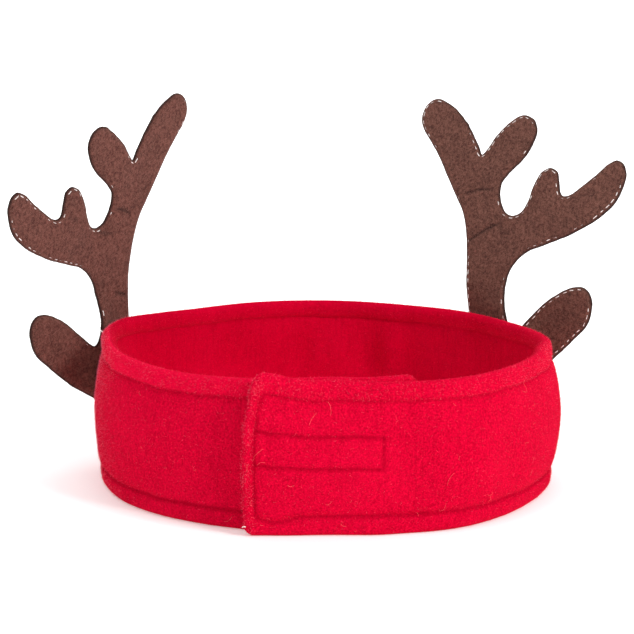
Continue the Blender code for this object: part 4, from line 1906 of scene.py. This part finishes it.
@dataclass
class Studio:
    """A white sweep, a small key light at the right, wide fill and top lights, and the camera."""

    eye: tuple[float, float, float] = (-3.98 * MM, -887.98 * MM, 228.9 * MM)
    target: tuple[float, float, float] = (-3.98 * MM, -2.49 * MM, 68.0 * MM)
    lens: float = 123.16
    lit: tuple[float, float, float] = (0.0, 0.0, 60.0 * MM)
    lamps: tuple[SoftBox, ...] = (
        SoftBox("key", (1.10, -0.95, 0.95), 0.42, 17.6),
        SoftBox("fill", (-1.15, -0.95, 1.15), 1.0, 8.4),
        SoftBox("top", (0.0, 0.25, 1.7), 1.3, 9.4),
    )
    sky_strength: float = 0.36

    def camera(self) -> None:
        """The camera at the photograph's height and distance, aimed without shift."""
        data = bpy.data.cameras.new("camera")
        data.lens = self.lens
        data.sensor_width = 36.0
        data.clip_start, data.clip_end = 0.05, 20.0
        made = bpy.data.objects.new("camera", data)
        bpy.context.scene.collection.objects.link(made)
        made.location = self.eye
        made.rotation_euler = (Vector(self.target) - Vector(self.eye)).to_track_quat("-Z", "Y").to_euler()
        bpy.context.scene.camera = made

    def sweep(self, material: Material) -> None:
        """The floor and the wall behind it: a flat, a quarter circle and an upright, drawn out sideways.

        Args:
            material: The paper.
        """
        turn = np.linspace(0, np.pi / 2, 24)
        y = np.concatenate([[-3.0, -1.0, 0.0, 1.0], 1.6 + 1.0 * np.sin(turn), [2.6]])
        z = np.concatenate([[0.0] * 4, 1.0 - 1.0 * np.cos(turn), [4.0]])
        x = np.linspace(-4.0, 4.0, 9)
        points = np.stack(np.broadcast_arrays(x[:, None], y[None], z[None]), axis=-1).reshape(-1, 3)
        n = np.arange(len(x) * len(y)).reshape(len(x), len(y))
        mesh = bpy.data.meshes.new("sweep")
        mesh.from_pydata(points.tolist(), [], grid_faces(n.T).tolist())
        mesh.shade_smooth()
        mesh.materials.append(material)
        made = bpy.data.objects.new("sweep", mesh)
        bpy.context.scene.collection.objects.link(made)
        made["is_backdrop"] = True

    def light(self, lamp: SoftBox) -> None:
        """A lamp in its place, aimed at the object.

        Args:
            lamp: The lamp.
        """
        data = bpy.data.lights.new(lamp.name, "AREA")
        data.size = lamp.size
        data.energy = lamp.power
        made = bpy.data.objects.new(lamp.name, data)
        bpy.context.scene.collection.objects.link(made)
        made.location = lamp.place
        made.rotation_euler = (Vector(self.lit) - Vector(lamp.place)).to_track_quat("-Z", "Y").to_euler()

    def build(self) -> None:
        """Camera, sweep, lights and a white sky."""
        self.camera()
        self.sweep(StudioPaper().dress())
        for lamp in self.lamps:
            self.light(lamp)
        world = bpy.data.worlds.new("studio_sky")
        world.use_nodes = True
        back = world.node_tree.nodes["Background"]
        back.inputs["Color"].default_value = (1.0, 1.0, 1.0, 1.0)
        back.inputs["Strength"].default_value = self.sky_strength
        bpy.context.scene.world = world
        bpy.context.scene.view_settings.view_transform = "Standard"


def left_antler(strip: Strip) -> Antler:
    """The left antler, which leans in."""
    return Antler(
        name="left",
        sheet=AntlerSheet(strip, side=-1, angle=112.6, twist=11.5, lean=-10.0, roll=2.0),
        creases=(
            Crease((-0.070, 0.626), (0.040, 0.655), 0.6, 0.45, 0.85),
            Crease((0.030, 0.573), (0.135, 0.594), -0.5, 0.45, 0.70),
            Crease((-0.085, 0.352), (0.015, 0.375), 0.5, 0.40, 0.80),
            Crease((0.250, 0.640), (0.330, 0.655), 0.4, 0.30, 0.50),
        ),
        nubs=(Nub((-0.150, 0.940), 0.35, 1.6), Nub((0.120, 0.920), 0.25, 1.2)),
        shown=(
            ShownSeam((-0.045, 0.800), 3.5, 0.42),
            ShownSeam((0.275, 0.735), 5.0, 0.34),
            ShownSeam((0.380, 0.665), 5.5, 0.34),
            ShownSeam((0.500, 0.710), 5.0, 0.30),
            ShownSeam((0.590, 0.750), 6.0, 0.36),
            ShownSeam((0.130, 0.600), 6.0, 0.30),
            ShownSeam((0.110, 0.310), 3.5, 0.26),
            ShownSeam((0.600, 0.630), 7.0, 0.26),
            ShownSeam((0.500, 0.565), 7.0, 0.26),
            ShownSeam((0.390, 0.530), 7.0, 0.26),
            ShownSeam((0.280, 0.500), 7.0, 0.24),
            ShownSeam((-0.340, 0.900), 4.0, 0.26),
            ShownSeam((0.100, 0.740), 4.0, 0.24),
        ),
        stitch_lift=-0.32,
        set_over=2.0 * MM,
    )


def right_antler(strip: Strip) -> Antler:
    """The right antler, which leans out and away."""
    return Antler(
        name="right",
        sheet=AntlerSheet(strip, side=1, angle=232.4, twist=15.5, lean=15.5, roll=-6.0),
        creases=(
            Crease((-0.125, 0.670), (0.035, 0.684), 1.2, 0.45, 0.85),
            Crease((-0.095, 0.508), (0.085, 0.577), 1.2, 0.60, 0.95),
            Crease((0.060, 0.600), (0.080, 0.500), 1.0, 0.25, 0.35),
        ),
        nubs=(Nub((-0.126, 0.908), 0.40, 1.0), Nub((0.195, 0.905), 0.2, 1.2)),
        shown=(
            ShownSeam((-0.345, 0.940), 6.0, 0.30),
            ShownSeam((-0.320, 0.972), 4.0, 0.26),
            ShownSeam((-0.275, 0.992), 3.0, 0.24),
            ShownSeam((-0.035, 0.815), 5.0, 0.34),
            ShownSeam((0.010, 0.850), 7.0, 0.32),
            ShownSeam((0.090, 0.900), 8.0, 0.32),
            ShownSeam((0.200, 0.660), 6.0, 0.26),
            ShownSeam((0.240, 0.720), 4.0, 0.22),
            ShownSeam((0.120, 0.600), 6.5, 0.24),
            ShownSeam((0.340, 0.680), 4.0, 0.24),
            ShownSeam((0.370, 0.660), 4.0, 0.22),
            ShownSeam((0.490, 0.710), 5.0, 0.16),
            ShownSeam((0.600, 0.635), 5.0, 0.34),
            ShownSeam((0.540, 0.590), 5.0, 0.30),
            ShownSeam((0.430, 0.545), 7.0, 0.16),
            ShownSeam((0.310, 0.510), 7.0, 0.14),
            ShownSeam((0.180, 0.795), 5.0, 0.14),
            ShownSeam((0.285, 0.740), 4.0, 0.30),
            ShownSeam((-0.090, 0.380), 11.0, 0.30),
            ShownSeam((-0.090, 0.300), 6.0, 0.32),
            ShownSeam((0.220, 0.270), 9.0, 0.34),
            ShownSeam((0.320, 0.330), 8.0, 0.34),
            ShownSeam((0.400, 0.350), 6.0, 0.30),
            ShownSeam((0.490, 0.300), 6.0, 0.16),
            ShownSeam((0.430, 0.210), 8.0, 0.26),
            ShownSeam((0.320, 0.140), 8.0, 0.30),
        ),
        stitch_lift=-0.26,
        tine_reach=2.6 * MM,
        tine_rise=1.2 * MM,
    )


def corners() -> list[list[float]]:
    """The lowest and highest corner of what shows, as plain lists."""
    return [[float(v) for v in corner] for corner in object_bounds()]


def main() -> None:
    """Builds the studio, then each piece in order, and reports them."""
    logging.basicConfig(level=logging.INFO, format="%(name)s: %(message)s")
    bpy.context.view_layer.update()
    Studio().build()
    fleece = NappedFleece().dress()
    nap = LooseFibre("fibre_polyester_red", "#DE0230").dress()
    # Painted highlight: nap tips paler than the pile
    tips = LooseFibre("fibre_polyester_light_red", "#FF3454", sheen=0.04).dress()
    # Painted sheen: nap paler still, for the rim, the flap's end and the ring's left side
    painted_sheen_fibre = LooseFibre("fibre_polyester_frayed", "#FF6480", sheen=0.05).dress()
    pale = LooseFibre("fibre_polyester_pale", "#FF7C7C").dress()
    red_thread = SpunThread("thread_polyester_red", "#A8001E", "#7A0016").dress()
    white_thread = SpunThread("thread_polyester_white", "#FFFAF6", "#E4D6D0").dress()
    brown_thread = SpunThread("thread_polyester_brown", "#4A2E27", "#2C1A16").dress()
    # Painted shade: the left antler's felt is the same felt painted darker and redder, for the light that falls
    # on it
    felts = {"left": NeedledFelt("felt_needled_red_brown", "#5D332B", "#321815", "#8E5D52").dress(),
             "right": NeedledFelt("felt_needled_brown", "#5D3930", "#301B17", "#8E6053").dress()}
    loose_felt = LooseFibre("fibre_felt_brown", "#8C6358").dress()

    strip = Strip()
    band = FleeceBand(strip)
    wall = band.build(fleece)
    log.info("%s: %d faces, %.3f m long", wall.name, len(wall.data.polygons), strip.length)
    extras = [FleeceNap(band).build(side, nap) for side in Face]
    # Painted highlight: paler nap tips over both faces, more of them on the rim
    for side, count in ((Face.OUTSIDE, 30000), (Face.INSIDE, 8000)):
        light = FleeceNap(band, name="tips", count=count, shortest=0.8 * MM, longest=1.9 * MM,
                          width=0.046 * MM, rim_share=0.15, seed=23)
        extras.append(light.build(side, tips))
    # Painted sheen: the palest nap, gathered on the rim, the flap's end and the ring's left side
    painted_sheen_nap = FleeceNap(band, name="painted_sheen_fibre", count=18000, shortest=0.8 * MM, longest=2.4 * MM,
                       width=0.048 * MM, rim_share=0.14, end_share=0.03, side_share=0.66, seed=31)
    extras.append(painted_sheen_nap.build(Face.OUTSIDE, painted_sheen_fibre))
    extras.append(Topstitching(band).build(red_thread))
    extras.append(StrayFibres(band).build(pale))
    extras.append(ThreadEnds(band).build(white_thread))
    for piece in extras:
        log.info("%s: %d faces", piece.name, len(piece.data.polygons))
    tape = ClosureTape(band)
    tape.build(HookAndLoopTape().dress())

    for antler in (left_antler(strip), right_antler(strip)):
        antler.build(felts[antler.name], white_thread, brown_thread, loose_felt)


if __name__ == "__main__":
    main()
